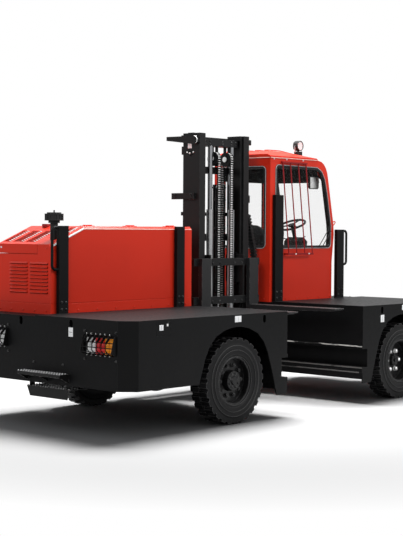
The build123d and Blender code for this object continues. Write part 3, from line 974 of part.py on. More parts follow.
# Mirror inside the cab, hung from the ceiling
MIRROR_RUN = 262.0        # behind the cab's front
MIRROR_SIZE = (175.0, 26.0, 150.0)
MIRROR_Z = 2442.0
mirror_x = CAB_FRONT_X - MIRROR_RUN
mirror_y = CAB_RIGHT_Y + CAB_WALL + 50
glass_box = Box(*MIRROR_SIZE)
mirror_head = Pos(mirror_x, mirror_y, MIRROR_Z) * fillet(glass_box.edges().filter_by(Axis.Y), 30)
mirror_head += bar_z(mirror_x - 30, mirror_y, MIRROR_Z, CAB_ROOF_Z - CAB_WALL, 8)
save("cab_mirror", mirror_head)

# Work lamp on the roof, turned to the load side
LAMP_RUN = 738.0          # from the cab's rear wall
LAMP_IN = 180.0           # from the cab's right side
LAMP_RADIUS = 60.0
LAMP_DEPTH = 64.0
LAMP_Z = 2876.0
lamp_x = CAB_REAR_X + LAMP_RUN
lamp_y = CAB_RIGHT_Y + LAMP_IN
lamp_face_y = lamp_y - LAMP_DEPTH / 2
glass_radius = LAMP_RADIUS - 9
lamp = bar_y(lamp_x, lamp_face_y, lamp_y + LAMP_DEPTH / 2, LAMP_Z, LAMP_RADIUS)
lamp -= bar_y(lamp_x, lamp_face_y - 1, lamp_face_y + 14, LAMP_Z, glass_radius)
lamp += bar_z(lamp_x, lamp_y, CAB_ROOF_Z + 10, LAMP_Z - LAMP_RADIUS + 6, 12)
lamp += block(lamp_x - 40, lamp_x + 40, lamp_y - 30, lamp_y + 30, CAB_ROOF_Z + 10, LAMP_Z - LAMP_RADIUS - 8)
save("work_lamp", lamp - roof)
save("work_lamp_glass", bar_y(lamp_x, lamp_face_y + 4, lamp_face_y + 14, LAMP_Z, glass_radius - FIT_GAP))

# Engine hood: fixed lower body with a spine on the load side, and the lid
CREASE_Z = 1150.0
CREASE_HEIGHT = 8.0
hood_wall = HOOD_WALL
lower = block(HOOD_REAR_X, HOOD_FRONT_X, HOOD_RIGHT_Y, HOOD_LEFT_Y, FRAME_Z, HOOD_SPLIT_Z)
lower -= block(HOOD_REAR_X + hood_wall, HOOD_FRONT_X - hood_wall, HOOD_RIGHT_Y + hood_wall, HOOD_LEFT_Y - hood_wall,
               FRAME_Z - 5, HOOD_SPLIT_Z + 5)
crease = block(HOOD_REAR_X - 1, HOOD_FRONT_X + 1, HOOD_RIGHT_Y - 1, HOOD_LEFT_Y + 1, CREASE_Z, CREASE_Z + CREASE_HEIGHT)
crease -= block(HOOD_REAR_X + hood_wall / 2, HOOD_FRONT_X - hood_wall / 2, HOOD_RIGHT_Y + hood_wall / 2,
                HOOD_LEFT_Y - hood_wall / 2, CREASE_Z - 1, CREASE_Z + CREASE_HEIGHT + 1)
lower -= crease
# louvres in the rear wall
LOUVRE_RUNS = ((40.0, 300.0), (340.0, 600.0))   # from the hood's right wall
LOUVRES_LOW_Z = 1250.0
LOUVRE_PITCH = 35.0
LOUVRE_ROWS = 9
LOUVRE_OUT = 14.0
for run0, run1 in LOUVRE_RUNS:
    ends = (HOOD_RIGHT_Y + run0, HOOD_RIGHT_Y + run1)
    for row in range(LOUVRE_ROWS):
        z = LOUVRES_LOW_Z + LOUVRE_PITCH * row
        lower -= block(HOOD_REAR_X - 1, HOOD_REAR_X + hood_wall + 1, *ends, z, z + 14)
        lip = ((HOOD_REAR_X + 2, z + 26), (HOOD_REAR_X - LOUVRE_OUT, z + 10), (HOOD_REAR_X - LOUVRE_OUT, z + 6),
               (HOOD_REAR_X + 2, z + 18))
        lower += prism_y(lip, *ends)
top_outline = ((HOOD_REAR_X, HOOD_SPLIT_Z), (HOOD_FRONT_X, HOOD_SPLIT_Z), (HOOD_FRONT_X, HOOD_TOP_Z),
               (HOOD_RIDGE_X, HOOD_TOP_Z), (HOOD_REAR_X, HOOD_EAVE_Z))
slope = atan2(HOOD_TOP_Z - HOOD_EAVE_Z, HOOD_RIDGE_X - HOOD_REAR_X)
slope_long = hypot(HOOD_TOP_Z - HOOD_EAVE_Z, HOOD_RIDGE_X - HOOD_REAR_X)
eave_drop = hood_wall / cos(slope) - hood_wall * tan(slope)
ridge_shift = hood_wall * tan(slope / 2)
top_room = ((HOOD_REAR_X + hood_wall, HOOD_SPLIT_Z - 5), (HOOD_FRONT_X - hood_wall, HOOD_SPLIT_Z - 5),
            (HOOD_FRONT_X - hood_wall, HOOD_TOP_Z - hood_wall), (HOOD_RIDGE_X + ridge_shift, HOOD_TOP_Z - hood_wall),
            (HOOD_REAR_X + hood_wall, HOOD_EAVE_Z - eave_drop))


def upper_edges(shape, y):
    """The long edges along the slope and the top, on one side."""
    return [edge for edge in shape.edges() if abs(edge.center().Y - y) < 1 and abs((edge % 0.5).Z) < 0.5
            and edge.center().Z > HOOD_SPLIT_Z + 50]


def on_slope(along, out):
    """Point on the slope: distance up from the eave, and outwards."""
    return (HOOD_REAR_X + along * cos(slope) - out * sin(slope), HOOD_EAVE_Z + along * sin(slope) + out * cos(slope))


def slope_slab(along0, along1, out0, out1, y0, y1):
    """Slab that lies along the slope."""
    corners = (on_slope(along0, out0), on_slope(along1, out0), on_slope(along1, out1), on_slope(along0, out1))
    return prism_y(corners, y0, y1)


spine = prism_y(top_outline, HOOD_RIGHT_Y, HOOD_SPINE_Y)
spine = chamfer(upper_edges(spine, HOOD_RIGHT_Y), HOOD_CHAMFER)
spine_room = prism_y(top_room, HOOD_RIGHT_Y + hood_wall, HOOD_SPINE_Y - hood_wall)
spine_room = chamfer(upper_edges(spine_room, HOOD_RIGHT_Y + hood_wall), HOOD_CHAMFER - hood_wall * 0.6)
hood_outside = spine
spine = spine - spine_room
lid = prism_y([(x, z + (RUN_GAP if z == HOOD_SPLIT_Z else 0)) for x, z in top_outline],
              HOOD_SPINE_Y + RUN_GAP, HOOD_LEFT_Y)
lid = chamfer(upper_edges(lid, HOOD_LEFT_Y), HOOD_CHAMFER)
lid_room = prism_y(top_room, HOOD_SPINE_Y - 5, HOOD_LEFT_Y - hood_wall)
lid -= chamfer(upper_edges(lid_room, HOOD_LEFT_Y - hood_wall), HOOD_CHAMFER - hood_wall * 0.6)
# sunk bays in the slope, each a pan with slats across it
BAY_SINK = 18.0
BAY_FLOOR = 5.0
# y from the hood's right wall, distances up the slope, slats' pitch
BAYS = ((40.0, 150.0, 300.0, 430.0, 18.0), (290.0, 430.0, 50.0, 340.0, 28.0), (470.0, 620.0, 50.0, 340.0, 28.0),
        (660.0, 770.0, 50.0, 340.0, 28.0))
for run0, run1, low, high, pitch in BAYS:
    ends = (HOOD_RIGHT_Y + run0, HOOD_RIGHT_Y + run1)
    pan = slope_slab(low - BAY_FLOOR, high + BAY_FLOOR, -1, -BAY_SINK - BAY_FLOOR, ends[0] - BAY_FLOOR, ends[1] + BAY_FLOOR)
    hole = slope_slab(low, high, 5, -BAY_SINK, *ends)
    slats = [slope_slab(low + pitch * (slat + 0.6), low + pitch * (slat + 0.6) + 5, -2, -BAY_SINK - 1, *ends)
             for slat in range(int((high - low) / pitch))]
    if run0 < HOOD_SPINE:
        spine = spine + pan - hole
        for slat in slats:
            spine += slat
    else:
        lid = lid + pan - hole
        for slat in slats:
            lid += slat
hood_body = lower + spine
LID_HINGE_RADIUS = 6.0
LID_HINGE_Y = HOOD_SPINE_Y + RUN_GAP / 2
LID_HINGE_Z = HOOD_TOP_Z + LID_HINGE_RADIUS + 2
KNUCKLE_LONG = 60.0
for run in (168.0, 768.0, 1368.0):
    x = HOOD_RIDGE_X + run
    lid += bar_x(x, x + KNUCKLE_LONG, LID_HINGE_Y, LID_HINGE_Z, LID_HINGE_RADIUS)
    lid += block(x, x + KNUCKLE_LONG, LID_HINGE_Y, LID_HINGE_Y + 50, HOOD_TOP_Z, HOOD_TOP_Z + 5)
    next_x = x + KNUCKLE_LONG + FIT_GAP
    hood_body += bar_x(next_x, next_x + KNUCKLE_LONG, LID_HINGE_Y, LID_HINGE_Z, LID_HINGE_RADIUS)
    hood_body += block(next_x, next_x + KNUCKLE_LONG, LID_HINGE_Y - 40, LID_HINGE_Y, HOOD_TOP_Z, HOOD_TOP_Z + 5)
save("hood_body", hood_body)
save("hood_lid", lid)

# Air pre-cleaner on the spine: neck, ribbed drum, cap and pin
CLEANER_RUN = 127.0       # from the hood's rear wall
CLEANER_IN = 98.0         # from the hood's right wall
CLEANER_RADIUS = 92.0
CLEANER_Z = (1957.0, 2036.0)
CLEANER_RIBS = 16
cleaner_x = HOOD_REAR_X + CLEANER_RUN
cleaner_y = HOOD_RIGHT_Y + CLEANER_IN
cleaner = bar_z(cleaner_x, cleaner_y, HOOD_EAVE_Z - 30, CLEANER_Z[0] + 3, 38)
cleaner += bar_z(cleaner_x, cleaner_y, CLEANER_Z[0] - 24, CLEANER_Z[0], 56)
cleaner += bar_z(cleaner_x, cleaner_y, CLEANER_Z[0], CLEANER_Z[1] - 14, CLEANER_RADIUS - 6)
cleaner += bar_z(cleaner_x, cleaner_y, CLEANER_Z[0], CLEANER_Z[0] + 12, CLEANER_RADIUS)
cleaner += bar_z(cleaner_x, cleaner_y, CLEANER_Z[1] - 24, CLEANER_Z[1] - 12, CLEANER_RADIUS)
cleaner += bar_z(cleaner_x, cleaner_y, CLEANER_Z[1] - 12, CLEANER_Z[1], CLEANER_RADIUS - 22)
cleaner += bar_z(cleaner_x, cleaner_y, CLEANER_Z[1] - 1, CLEANER_Z[1] + 22, 7)
for rib in range(CLEANER_RIBS):
    turn = Rot(0, 0, 360 * rib / CLEANER_RIBS)
    cleaner += Pos(cleaner_x, cleaner_y, sum(CLEANER_Z) / 2 - 6) * turn * Pos(CLEANER_RADIUS - 6, 0, 0) * Box(10, 9, 50)
cleaner -= hood_outside
save("air_precleaner", cleaner)

# Engine, one plain block on two bearers
ENGINE_RUN = (450.0, 1350.0)  # from the hood's rear wall
ENGINE_IN = (220.0, 640.0)    # from the hood's right wall
ENGINE_Z = (900.0, 1580.0)
BEARER = 100.0
engine_x = (HOOD_REAR_X + ENGINE_RUN[0], HOOD_REAR_X + ENGINE_RUN[1])
engine_y = (HOOD_RIGHT_Y + ENGINE_IN[0], HOOD_RIGHT_Y + ENGINE_IN[1])
engine = block(*engine_x, *engine_y, *ENGINE_Z)
for x in (engine_x[0] + 60, engine_x[1] - 60 - BEARER):
    engine += block(x, x + BEARER, RAIL_Y - RAIL_WIDTH / 2, engine_y[1], RAIL_HIGH_Z, ENGINE_Z[0])
save("engine_block", engine)
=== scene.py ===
# %% [markdown]
# Side loader forklift, dressed around its engineering model.
# The engineering model gives every load-carrying piece at its real size. This lesson gives those pieces
# their finishes, and adds the small things: tread, bolts, chain links, seals, cushions and blank plates.
# Everything is in metres: +X forward, +Y to the left, +Z up, and the floor is at z = 0.

# %% Load the frame
import json
from math import atan2, cos, exp, pi, radians, sin
import bmesh
import bpy
from mathutils import Matrix, Vector


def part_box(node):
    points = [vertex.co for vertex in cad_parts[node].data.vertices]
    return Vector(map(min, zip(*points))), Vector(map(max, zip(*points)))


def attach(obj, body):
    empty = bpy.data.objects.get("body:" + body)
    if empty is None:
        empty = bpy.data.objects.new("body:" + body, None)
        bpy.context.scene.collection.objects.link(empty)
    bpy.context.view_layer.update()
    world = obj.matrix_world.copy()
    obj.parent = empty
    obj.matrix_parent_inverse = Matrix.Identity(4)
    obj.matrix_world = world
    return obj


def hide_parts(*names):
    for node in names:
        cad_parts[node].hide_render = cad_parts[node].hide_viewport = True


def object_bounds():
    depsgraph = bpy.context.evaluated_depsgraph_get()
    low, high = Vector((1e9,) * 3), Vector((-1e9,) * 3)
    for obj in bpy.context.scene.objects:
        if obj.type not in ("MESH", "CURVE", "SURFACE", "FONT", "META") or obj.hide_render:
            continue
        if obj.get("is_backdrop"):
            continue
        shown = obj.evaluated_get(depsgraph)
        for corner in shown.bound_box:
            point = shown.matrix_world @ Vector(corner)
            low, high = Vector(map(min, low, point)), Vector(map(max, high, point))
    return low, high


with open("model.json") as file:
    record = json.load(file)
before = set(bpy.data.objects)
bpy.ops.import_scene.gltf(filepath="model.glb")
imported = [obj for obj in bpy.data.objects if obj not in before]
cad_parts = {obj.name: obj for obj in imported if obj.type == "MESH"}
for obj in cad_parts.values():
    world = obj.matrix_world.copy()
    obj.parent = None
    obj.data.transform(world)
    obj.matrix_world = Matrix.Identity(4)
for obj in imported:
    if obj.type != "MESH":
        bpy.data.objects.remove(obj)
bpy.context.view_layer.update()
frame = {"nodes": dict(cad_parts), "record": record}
NODES = frame["nodes"]
RECORD = frame["record"]


def to_millimetre(corner):
    """A corner to the nearest millimetre, for a short print."""
    return tuple(round(v, 3) for v in corner)


def put(name, data):
    """A new object in the scene."""
    made = bpy.data.objects.new(name, data)
    bpy.context.scene.collection.objects.link(made)
    return made


# %% [markdown]
# The camera stands behind the vehicle on its load side, just above a person's eye level. Its place and
# turn come from the picture's own straight edges, so they are written as a place and three small angles.
# A long lens, about 90 mm, keeps the far front of the vehicle nearly as large as the near rear.

# %% Camera
IMAGE_HEIGHT = 536
FOCAL_PIXELS = 1338.73
SENSOR = 36.0
CAMERA_PLACE = Vector((-10.938, -9.475, 1.896))
CAMERA_YAW = radians(42.146)      # from +X towards +Y
CAMERA_DROP = radians(1.72)       # below level
CAMERA_ROLL = 0.0066

forward = Vector((cos(CAMERA_DROP) * cos(CAMERA_YAW), cos(CAMERA_DROP) * sin(CAMERA_YAW),
                  -sin(CAMERA_DROP)))
level_right = Vector((sin(CAMERA_YAW), -cos(CAMERA_YAW), 0))
level_up = level_right.cross(forward)
right = level_right * cos(CAMERA_ROLL) + level_up * sin(CAMERA_ROLL)
up = level_up * cos(CAMERA_ROLL) - level_right * sin(CAMERA_ROLL)
camera_data = bpy.data.cameras.new("camera")
camera_data.sensor_width = SENSOR
camera_data.lens = FOCAL_PIXELS * SENSOR / IMAGE_HEIGHT
camera_data.clip_end = 200
camera = put("camera", camera_data)
turn = Matrix((right, up, -forward)).transposed().to_4x4()
camera.matrix_world = Matrix.Translation(CAMERA_PLACE) @ turn
bpy.context.scene.camera = camera
print("lens", round(camera_data.lens, 1), "mm")

# %% [markdown]
# Materials and Geometry Nodes are both networks of small nodes, so one helper adds a node to either kind.
# Each link is a pair: the input's name or number, and either a value or another node's output.

# %% Node helpers
MATERIALS = {}


def add(tree, kind, *links, **settings):
    """Add a node to a tree, set it up and link it."""
    made = tree.nodes.new(kind)
    for key, value in settings.items():
        setattr(made, key, value)
    for key, value in links:
        if isinstance(value, bpy.types.NodeSocket):
            tree.links.new(value, made.inputs[key])
        else:
            made.inputs[key].default_value = value
    return made


def new_material(name):
    """An empty network with its main shader, kept in the table of finishes."""
    material = bpy.data.materials.new(name)
    material.use_nodes = True
    MATERIALS[name] = material
    return material, material.node_tree.nodes["Principled BSDF"]


def node(material, kind, *links, **settings):
    """Add a node to a material."""
    return add(material.node_tree, kind, *links, **settings)


def preset(shader, **values):
    """Set inputs of the main shader, with underscores for the spaces in their names."""
    for label, value in values.items():
        shader.inputs[label.replace("_", " ")].default_value = value


def join(material, socket, shader, name):
    """Lead a socket into the main shader."""
    material.node_tree.links.new(socket, shader.inputs[name])

# %% [markdown]
# Every painted or moulded surface needs three things: a slow change of colour, a fine bump, and a mask
# that finds the edges, where paint wears and rubber greys. The edge mask compares the true normal with one
# rounded by a Bevel node, and the same rounded normal lets sharp sheet edges catch a thin line of light.

# %% Material helpers


def ramp(material, socket, low, high, low_value=0.0, high_value=1.0):
    """Map a range of a value to another range, held at both ends."""
    made = node(material, "ShaderNodeMapRange", ("Value", socket), ("From Min", low), ("From Max", high),
                ("To Min", low_value), ("To Max", high_value))
    return made.outputs["Result"]


def mix(material, share, colour_a, colour_b):
    """Blend two colours by a share."""
    made = node(material, "ShaderNodeMix", (0, share), (6, colour_a), (7, colour_b), data_type="RGBA")
    return made.outputs[2]


def times(material, first, second):
    """Multiply two values."""
    return node(material, "ShaderNodeMath", (0, first), (1, second), operation="MULTIPLY").outputs[0]


def object_place(material):
    """The point on the object."""
    return node(material, "ShaderNodeTexCoord").outputs["Object"]


def object_noise(material, scale, detail=4.0, stretch=(1, 1, 1)):
    """Noise that is fixed to the object."""
    spread = node(material, "ShaderNodeMapping", ("Vector", object_place(material)), ("Scale", stretch))
    made = node(material, "ShaderNodeTexNoise", ("Vector", spread.outputs["Vector"]), ("Scale", scale),
                ("Detail", detail))
    return made.outputs["Fac"]


def edge_mask(material, radius, strength=1.0):
    """1 on edges, 0 on flats."""
    rounded = node(material, "ShaderNodeBevel", ("Radius", radius), samples=4).outputs["Normal"]
    true_normal = node(material, "ShaderNodeNewGeometry").outputs["Normal"]
    facing = node(material, "ShaderNodeVectorMath", (0, rounded), (1, true_normal), operation="DOT_PRODUCT")
    return ramp(material, facing.outputs["Value"], 1.0, 0.86, 0.0, strength)


def soft_bump(material, shader, height, depth, strength, edge_radius):
    """Bump on top of rounded edges."""
    rounded = node(material, "ShaderNodeBevel", ("Radius", edge_radius), samples=4).outputs["Normal"]
    made = node(material, "ShaderNodeBump", ("Height", height), ("Distance", depth), ("Strength", strength),
                ("Normal", rounded))
    join(material, made.outputs["Normal"], shader, "Normal")


def shade(colour, factor):
    """The same colour, darker or lighter."""
    return tuple(min(channel * factor, 1.0) for channel in colour) + (1.0,)

# %% [markdown]
# Painted sheet metal: gloss red on the cab and hood, satin black on the chassis and the mast. Real paint
# is never one colour: it drifts a little over a metre, it has a fine orange peel, dust settles low down
# and edges rub pale. One function makes every paint, and the numbers say how new or worn it is. Satin
# black reflects little, so its specular level is low, or a white studio would turn it grey.

# %% Paints


def paint(name, colour, roughness, worn, wear, dust, shine=0.5, drift=0.12, coat=0.0):
    """Paint with drift, orange peel, low dust and rubbed edges."""
    material, shader = new_material(name)
    slow = object_noise(material, 1.3, 3)
    body = mix(material, ramp(material, slow, 0.3, 0.7), shade(colour, 1 - drift), shade(colour, 1 + drift))
    patch = object_noise(material, 28, 6)
    rubbed = times(material, edge_mask(material, 0.004, wear), ramp(material, patch, 0.42, 0.62))
    body = mix(material, rubbed, body, tuple(worn) + (1,))
    height = node(material, "ShaderNodeSeparateXYZ", (0, object_place(material)))
    low_down = ramp(material, height.outputs["Z"], 1.0, 0.15, 0.0, dust)
    film = object_noise(material, 6, 5, (1, 1, 0.35))
    dusty = times(material, low_down, ramp(material, film, 0.35, 0.75))
    body = mix(material, dusty, body, (0.16, 0.14, 0.12, 1))
    join(material, body, shader, "Base Color")
    join(material, ramp(material, patch, 0.3, 0.7, roughness - 0.05, roughness + 0.07), shader, "Roughness")
    preset(shader, Specular_IOR_Level=shine, Coat_Weight=coat, Coat_Roughness=0.12)
    soft_bump(material, shader, object_noise(material, 240, 2), 0.0004, 0.12, 0.003)


RED = (0.74, 0.032, 0.012)
GREY = (0.09, 0.09, 0.09)
# name, colour, roughness, rubbed colour, share rubbed, dust, shine, drift, coat
PAINTS = (
    ("cab_red", RED, 0.34, (0.8, 0.2, 0.12), 0.35, 0.0, 0.2, 0.05, 0.06),
    ("chassis_black", (0.0045, 0.0046, 0.005), 0.5, GREY, 0.6, 0.02, 0.1),
    ("mast_black", (0.008, 0.008, 0.0085), 0.4, (0.16, 0.155, 0.15), 0.6, 0.02, 0.2),
    ("fork_black", (0.016, 0.016, 0.017), 0.45, (0.32, 0.31, 0.3), 1.0, 0.0, 0.3),
    ("rim_black", (0.004, 0.004, 0.0044), 0.3, (0.2, 0.2, 0.2), 0.8, 0.02, 0.25),
    ("axle_iron", (0.006, 0.006, 0.0065), 0.6, GREY, 0.5, 0.08, 0.2),
    ("tread_black", (0.008, 0.008, 0.008), 0.45, (0.62, 0.61, 0.6), 1.0, 0.0, 0.2),
    ("rubbed_black", (0.02, 0.02, 0.02), 0.4, (0.5, 0.5, 0.49), 1.0, 0.0, 0.4),
    # pale red that stands for light on red edges: a painted highlight
    ("hem_red", (0.95, 0.62, 0.54), 0.3, (0.95, 0.8, 0.76), 0.6, 0.0, 0.5, 0.12, 0.4),
    ("guard_red", (0.3, 0.01, 0.012), 0.35, (0.6, 0.1, 0.08), 0.3, 0.0, 0.2),
    # near-black red for the inside of the hood's bays: painted shade
    ("bay_red", (0.05, 0.004, 0.005), 0.55, (0.3, 0.03, 0.02), 0.2, 0.0, 0.2),
    ("plate_white", (0.74, 0.75, 0.76), 0.4, (0.35, 0.35, 0.35), 0.25, 0.1, 0.5, 0.04),
)
for numbers in PAINTS:
    paint(*numbers)
glowing_white_shader = MATERIALS["plate_white"].node_tree.nodes["Principled BSDF"]
# a faint glow, painted light, keeps the white plates and the white painted glints bright beside red panels
preset(glowing_white_shader, Emission_Color=(1, 1, 1, 1), Emission_Strength=0.14)
print(len(MATERIALS), "paints")

# %% [markdown]
# Bare metal: the lift rods are hard chrome, the barrels zinc, the chains and sheaves oiled steel. Chrome
# gets a faint brushed streak along its length, so that it isn't a perfect mirror. The guide rails are
# black steel that the trolley's rollers have rubbed bright, in broken scratches along the run; the palest
# line is partly a painted highlight.

# %% Metals


def metal(name, colour, roughness, streak=(1, 1, 1), grime=0.0):
    """Metal with streaks and some oily grime."""
    material, shader = new_material(name)
    preset(shader, Metallic=1.0)
    lines = object_noise(material, 60, 4, streak)
    tone = mix(material, ramp(material, lines, 0.3, 0.7), shade(colour, 0.85), shade(colour, 1.1))
    dirt = object_noise(material, 9, 6)
    tone = mix(material, ramp(material, dirt, 0.5, 0.75, 0.0, grime), tone, (0.015, 0.013, 0.011, 1))
    join(material, tone, shader, "Base Color")
    join(material, ramp(material, lines, 0.25, 0.75, roughness, roughness + 0.12), shader, "Roughness")
    soft_bump(material, shader, lines, 0.0002, 0.1, 0.0015)


def rubbed_rail(name, share, bare_colour):
    """Black steel with rubbed scratches along Y."""
    material, shader = new_material(name)
    scratch = object_noise(material, 42, 6, (1, 0.12, 1))
    bare = ramp(material, scratch, share, share + 0.06)
    join(material, mix(material, bare, (0.012, 0.012, 0.012, 1), bare_colour), shader, "Base Color")
    preset(shader, Roughness=0.36)
    soft_bump(material, shader, scratch, 0.0004, 0.2, 0.0015)


metal("rod_chrome", (0.27, 0.275, 0.285), 0.12, (8, 8, 0.2))
metal("barrel_zinc", (0.42, 0.425, 0.43), 0.3, (8, 8, 0.2), grime=0.15)
metal("chain_steel", (0.05, 0.049, 0.048), 0.34, grime=0.5)
metal("roller_steel", (0.9, 0.9, 0.89), 0.26)
metal("steel", (0.55, 0.55, 0.56), 0.3, grime=0.2)
# pale scratches: rubbed wear, and partly a painted highlight on the upper flange's edge
rubbed_rail("rubbed_rail", 0.51, (0.7, 0.68, 0.65, 1))
rubbed_rail("bright_rail", 0.36, (0.13, 0.125, 0.12, 1))
print("metals: chrome, zinc, chain, roller, steel and two rails")

# %% [markdown]
# Rubber: industrial tyres are dark and dull, with paler scuffed edges on the lugs, thin moulded rings on
# the side wall and dust in the tread. The rings are drawn around each wheel's own axle, so the material
# is made once for each wheel, with a Mapping node that moves the pattern's middle to the hub.

# %% Rubbers
RING_PITCH = 0.011      # the fine rings moulded in a side wall


def rubber(name, colour, scuffed, wear, dust):
    """Plain rubber: dull, with scuffed edges and a dusty film."""
    material, shader = new_material(name)
    patch = object_noise(material, 40, 6)
    body = mix(material, ramp(material, patch, 0.3, 0.7), shade(colour, 0.8), shade(colour, 1.25))
    body = mix(material, edge_mask(material, 0.006, wear), body, tuple(scuffed) + (1,))
    film = object_noise(material, 5, 5)
    body = mix(material, ramp(material, film, 0.4, 0.8, 0.0, dust), body, (0.13, 0.12, 0.105, 1))
    join(material, body, shader, "Base Color")
    join(material, ramp(material, patch, 0.3, 0.7, 0.36, 0.55), shader, "Roughness")
    preset(shader, Specular_IOR_Level=0.28)
    soft_bump(material, shader, object_noise(material, 160, 4), 0.0006, 0.25, 0.003)
    return material, shader


def tyre_rubber(name, hub):
    """Tyre rubber with rings about the hub."""
    material, shader = rubber(name, (0.0045, 0.0045, 0.005), (0.17, 0.17, 0.17), 0.9, 0.02)
    preset(shader, Specular_IOR_Level=0.13)
    centred = node(material, "ShaderNodeMapping", ("Vector", object_place(material)), ("Location", -hub))
    flat = node(material, "ShaderNodeVectorMath", (0, centred.outputs["Vector"]), (1, (1, 0, 1)),
                operation="MULTIPLY")
    away = node(material, "ShaderNodeVectorMath", (0, flat.outputs["Vector"]), operation="LENGTH")
    radius = away.outputs["Value"]
    turns = times(material, radius, 2 * pi / RING_PITCH)
    wave = node(material, "ShaderNodeMath", (0, turns), operation="SINE")
    band = times(material, ramp(material, radius, 0.335, 0.34, 1.0, 0.0), ramp(material, radius, 0.29, 0.295))
    grain = shader.inputs["Normal"].links[0].from_socket
    bump = node(material, "ShaderNodeBump", ("Height", times(material, wave.outputs[0], band)),
                ("Distance", 0.0012), ("Strength", 0.6), ("Normal", grain))
    join(material, bump.outputs["Normal"], shader, "Normal")
    return material


rubber("seal_rubber", (0.006, 0.006, 0.0065), (0.05, 0.05, 0.05), 0.4, 0.02)
rubber("ring_rubber", (0.012, 0.012, 0.012), (0.1, 0.1, 0.1), 0.9, 0.02)
rubber("seal_bead", (0.5, 0.51, 0.52), (0.5, 0.5, 0.5), 0.3, 0.05)
print("rubbers: seal, bead, and one for each tyre")

# %% [markdown]
# Plastics, lenses, glass and cloth. Moulded plastic has a leathery grain. A lamp lens is a coloured block
# with fine upright ribs pressed into it. The cab's glass is thin and clear with a slight green-grey tint.
# The seat's cloth is a plain weave: two crossed waves, under a millimetre and a half apart.

# %% Plastics, lenses, glass and cloth


def plastic(name, colour, roughness=0.5, grain=180.0):
    """Moulded plastic with a leathery grain."""
    material, shader = new_material(name)
    patch = object_noise(material, 12, 4)
    join(material, mix(material, patch, shade(colour, 0.85), shade(colour, 1.2)), shader, "Base Color")
    join(material, ramp(material, patch, 0.3, 0.7, roughness, roughness + 0.1), shader, "Roughness")
    preset(shader, Specular_IOR_Level=0.3)
    soft_bump(material, shader, object_noise(material, grain, 3), 0.0005, 0.25, 0.003)


def lens(name, colour, glow=0.0):
    """Lamp lens with pressed upright ribs."""
    material, shader = new_material(name)
    ribs = node(material, "ShaderNodeTexWave", ("Vector", object_place(material)), ("Scale", 45.0),
                bands_direction="Y").outputs["Fac"]
    tone = mix(material, ribs, shade(colour, 0.8), shade(colour, 1.15))
    join(material, tone, shader, "Base Color")
    preset(shader, Roughness=0.16, Coat_Weight=0.6, Emission_Color=colour + (1,), Emission_Strength=glow)
    soft_bump(material, shader, ribs, 0.001, 0.4, 0.003)


def glass(name, tint, clear):
    """Thin glass: mostly clear, with a reflection at grazing angles."""
    material, shader = new_material(name)
    smear = object_noise(material, 3.5, 5)
    join(material, ramp(material, smear, 0.3, 0.7, 0.03, 0.07), shader, "Roughness")
    preset(shader, Base_Color=tint + (1,), Alpha=1 - clear, IOR=1.45)


def weave(name, colour, thread):
    """Plain weave of two crossed threads, with a little sheen."""
    material, shader = new_material(name)
    point = object_place(material)
    warp, weft = (node(material, "ShaderNodeTexWave", ("Vector", point), ("Scale", 0.314 / thread),
                       bands_direction=way).outputs["Fac"] for way in ("Y", "DIAGONAL"))
    threads = times(material, warp, weft)
    fade = object_noise(material, 7, 4)
    tone = mix(material, ramp(material, fade, 0.3, 0.7), shade(colour, 0.8), shade(colour, 1.3))
    join(material, mix(material, threads, tone, shade(colour, 1.9)), shader, "Base Color")
    preset(shader, Roughness=0.82, Sheen_Weight=0.25, Specular_IOR_Level=0.25)
    soft_bump(material, shader, threads, 0.0006, 0.5, 0.002)


plastic("trim_plastic", (0.007, 0.007, 0.0075))
# near-black lining: real trim, its darkness partly painted shade under the cab's roof
plastic("lining_shade_plastic", (0.005, 0.0045, 0.0045), 0.7, 90.0)
plastic("red_plastic", (0.3, 0.012, 0.012), 0.4)
lens("lens_clear", (0.85, 0.86, 0.86), 0.08)
lens("lens_red", (0.62, 0.016, 0.02), 0.1)
lens("lens_amber", (0.88, 0.3, 0.012), 0.1)
glass("window_glass", (0.1, 0.115, 0.11), 0.965)
weave("seat_fabric", (0.012, 0.012, 0.013), 0.0014)
print(len(MATERIALS), "finishes")

# %% [markdown]
# The record names a finish for every engineering node. A few are changed here, as the real machine shows:
# the lift cylinders' barrels are zinc, the steps are worn, the rods before the cab's side window are a
# darker red, and each tyre gets rings about its own hub.

# %% Give every engineering node its finish
OWN_FINISH = {"lift_barrels": "barrel_zinc", "end_steps": "tread_black", "cab_guard_rods": "guard_red"}
for part in RECORD["subparts"]:
    name = part["node"]
    if name.startswith("tyre_"):
        low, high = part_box(name)
        material = tyre_rubber(name, (low + high) / 2)
    else:
        material = MATERIALS[OWN_FINISH.get(name, part["material_slot"])]
    slots = NODES[name].data.materials
    slots.clear()
    slots.append(material)
print(len(RECORD["subparts"]), "engineering nodes have a finish")

# %% [markdown]
# Small pieces are built in mesh code: a block with broken edges, a round bar, and a plate set on a face.
# Each piece is one mesh in the shared frame, so its object stays at the origin and rides on a body.

# %% Mesh helpers


def keep(mesh, name, body, material):
    """Turn a mesh into a piece that rides on a body."""
    piece = put(name, mesh)
    mesh.materials.clear()
    mesh.materials.append(MATERIALS[material])
    mesh.shade_smooth()
    mesh.set_sharp_from_angle(angle=radians(32))
    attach(piece, body)
    return piece


def shaped(name, shapes):
    """One mesh from shapes, each a function that adds to it."""
    maker = bmesh.new()
    for shape in shapes:
        shape(maker)
    bmesh.ops.recalc_face_normals(maker, faces=maker.faces)
    mesh = bpy.data.meshes.new(name)
    maker.to_mesh(mesh)
    maker.free()
    return mesh


def build(name, body, slot, material, *shapes):
    """A piece from shapes."""
    keep(shaped(name, shapes), name, body, material)


def template(name, *shapes):
    """A small shape that a tree repeats. It isn't a piece, so it stays out of the scene."""
    return bpy.data.objects.new(name, shaped(name, shapes))


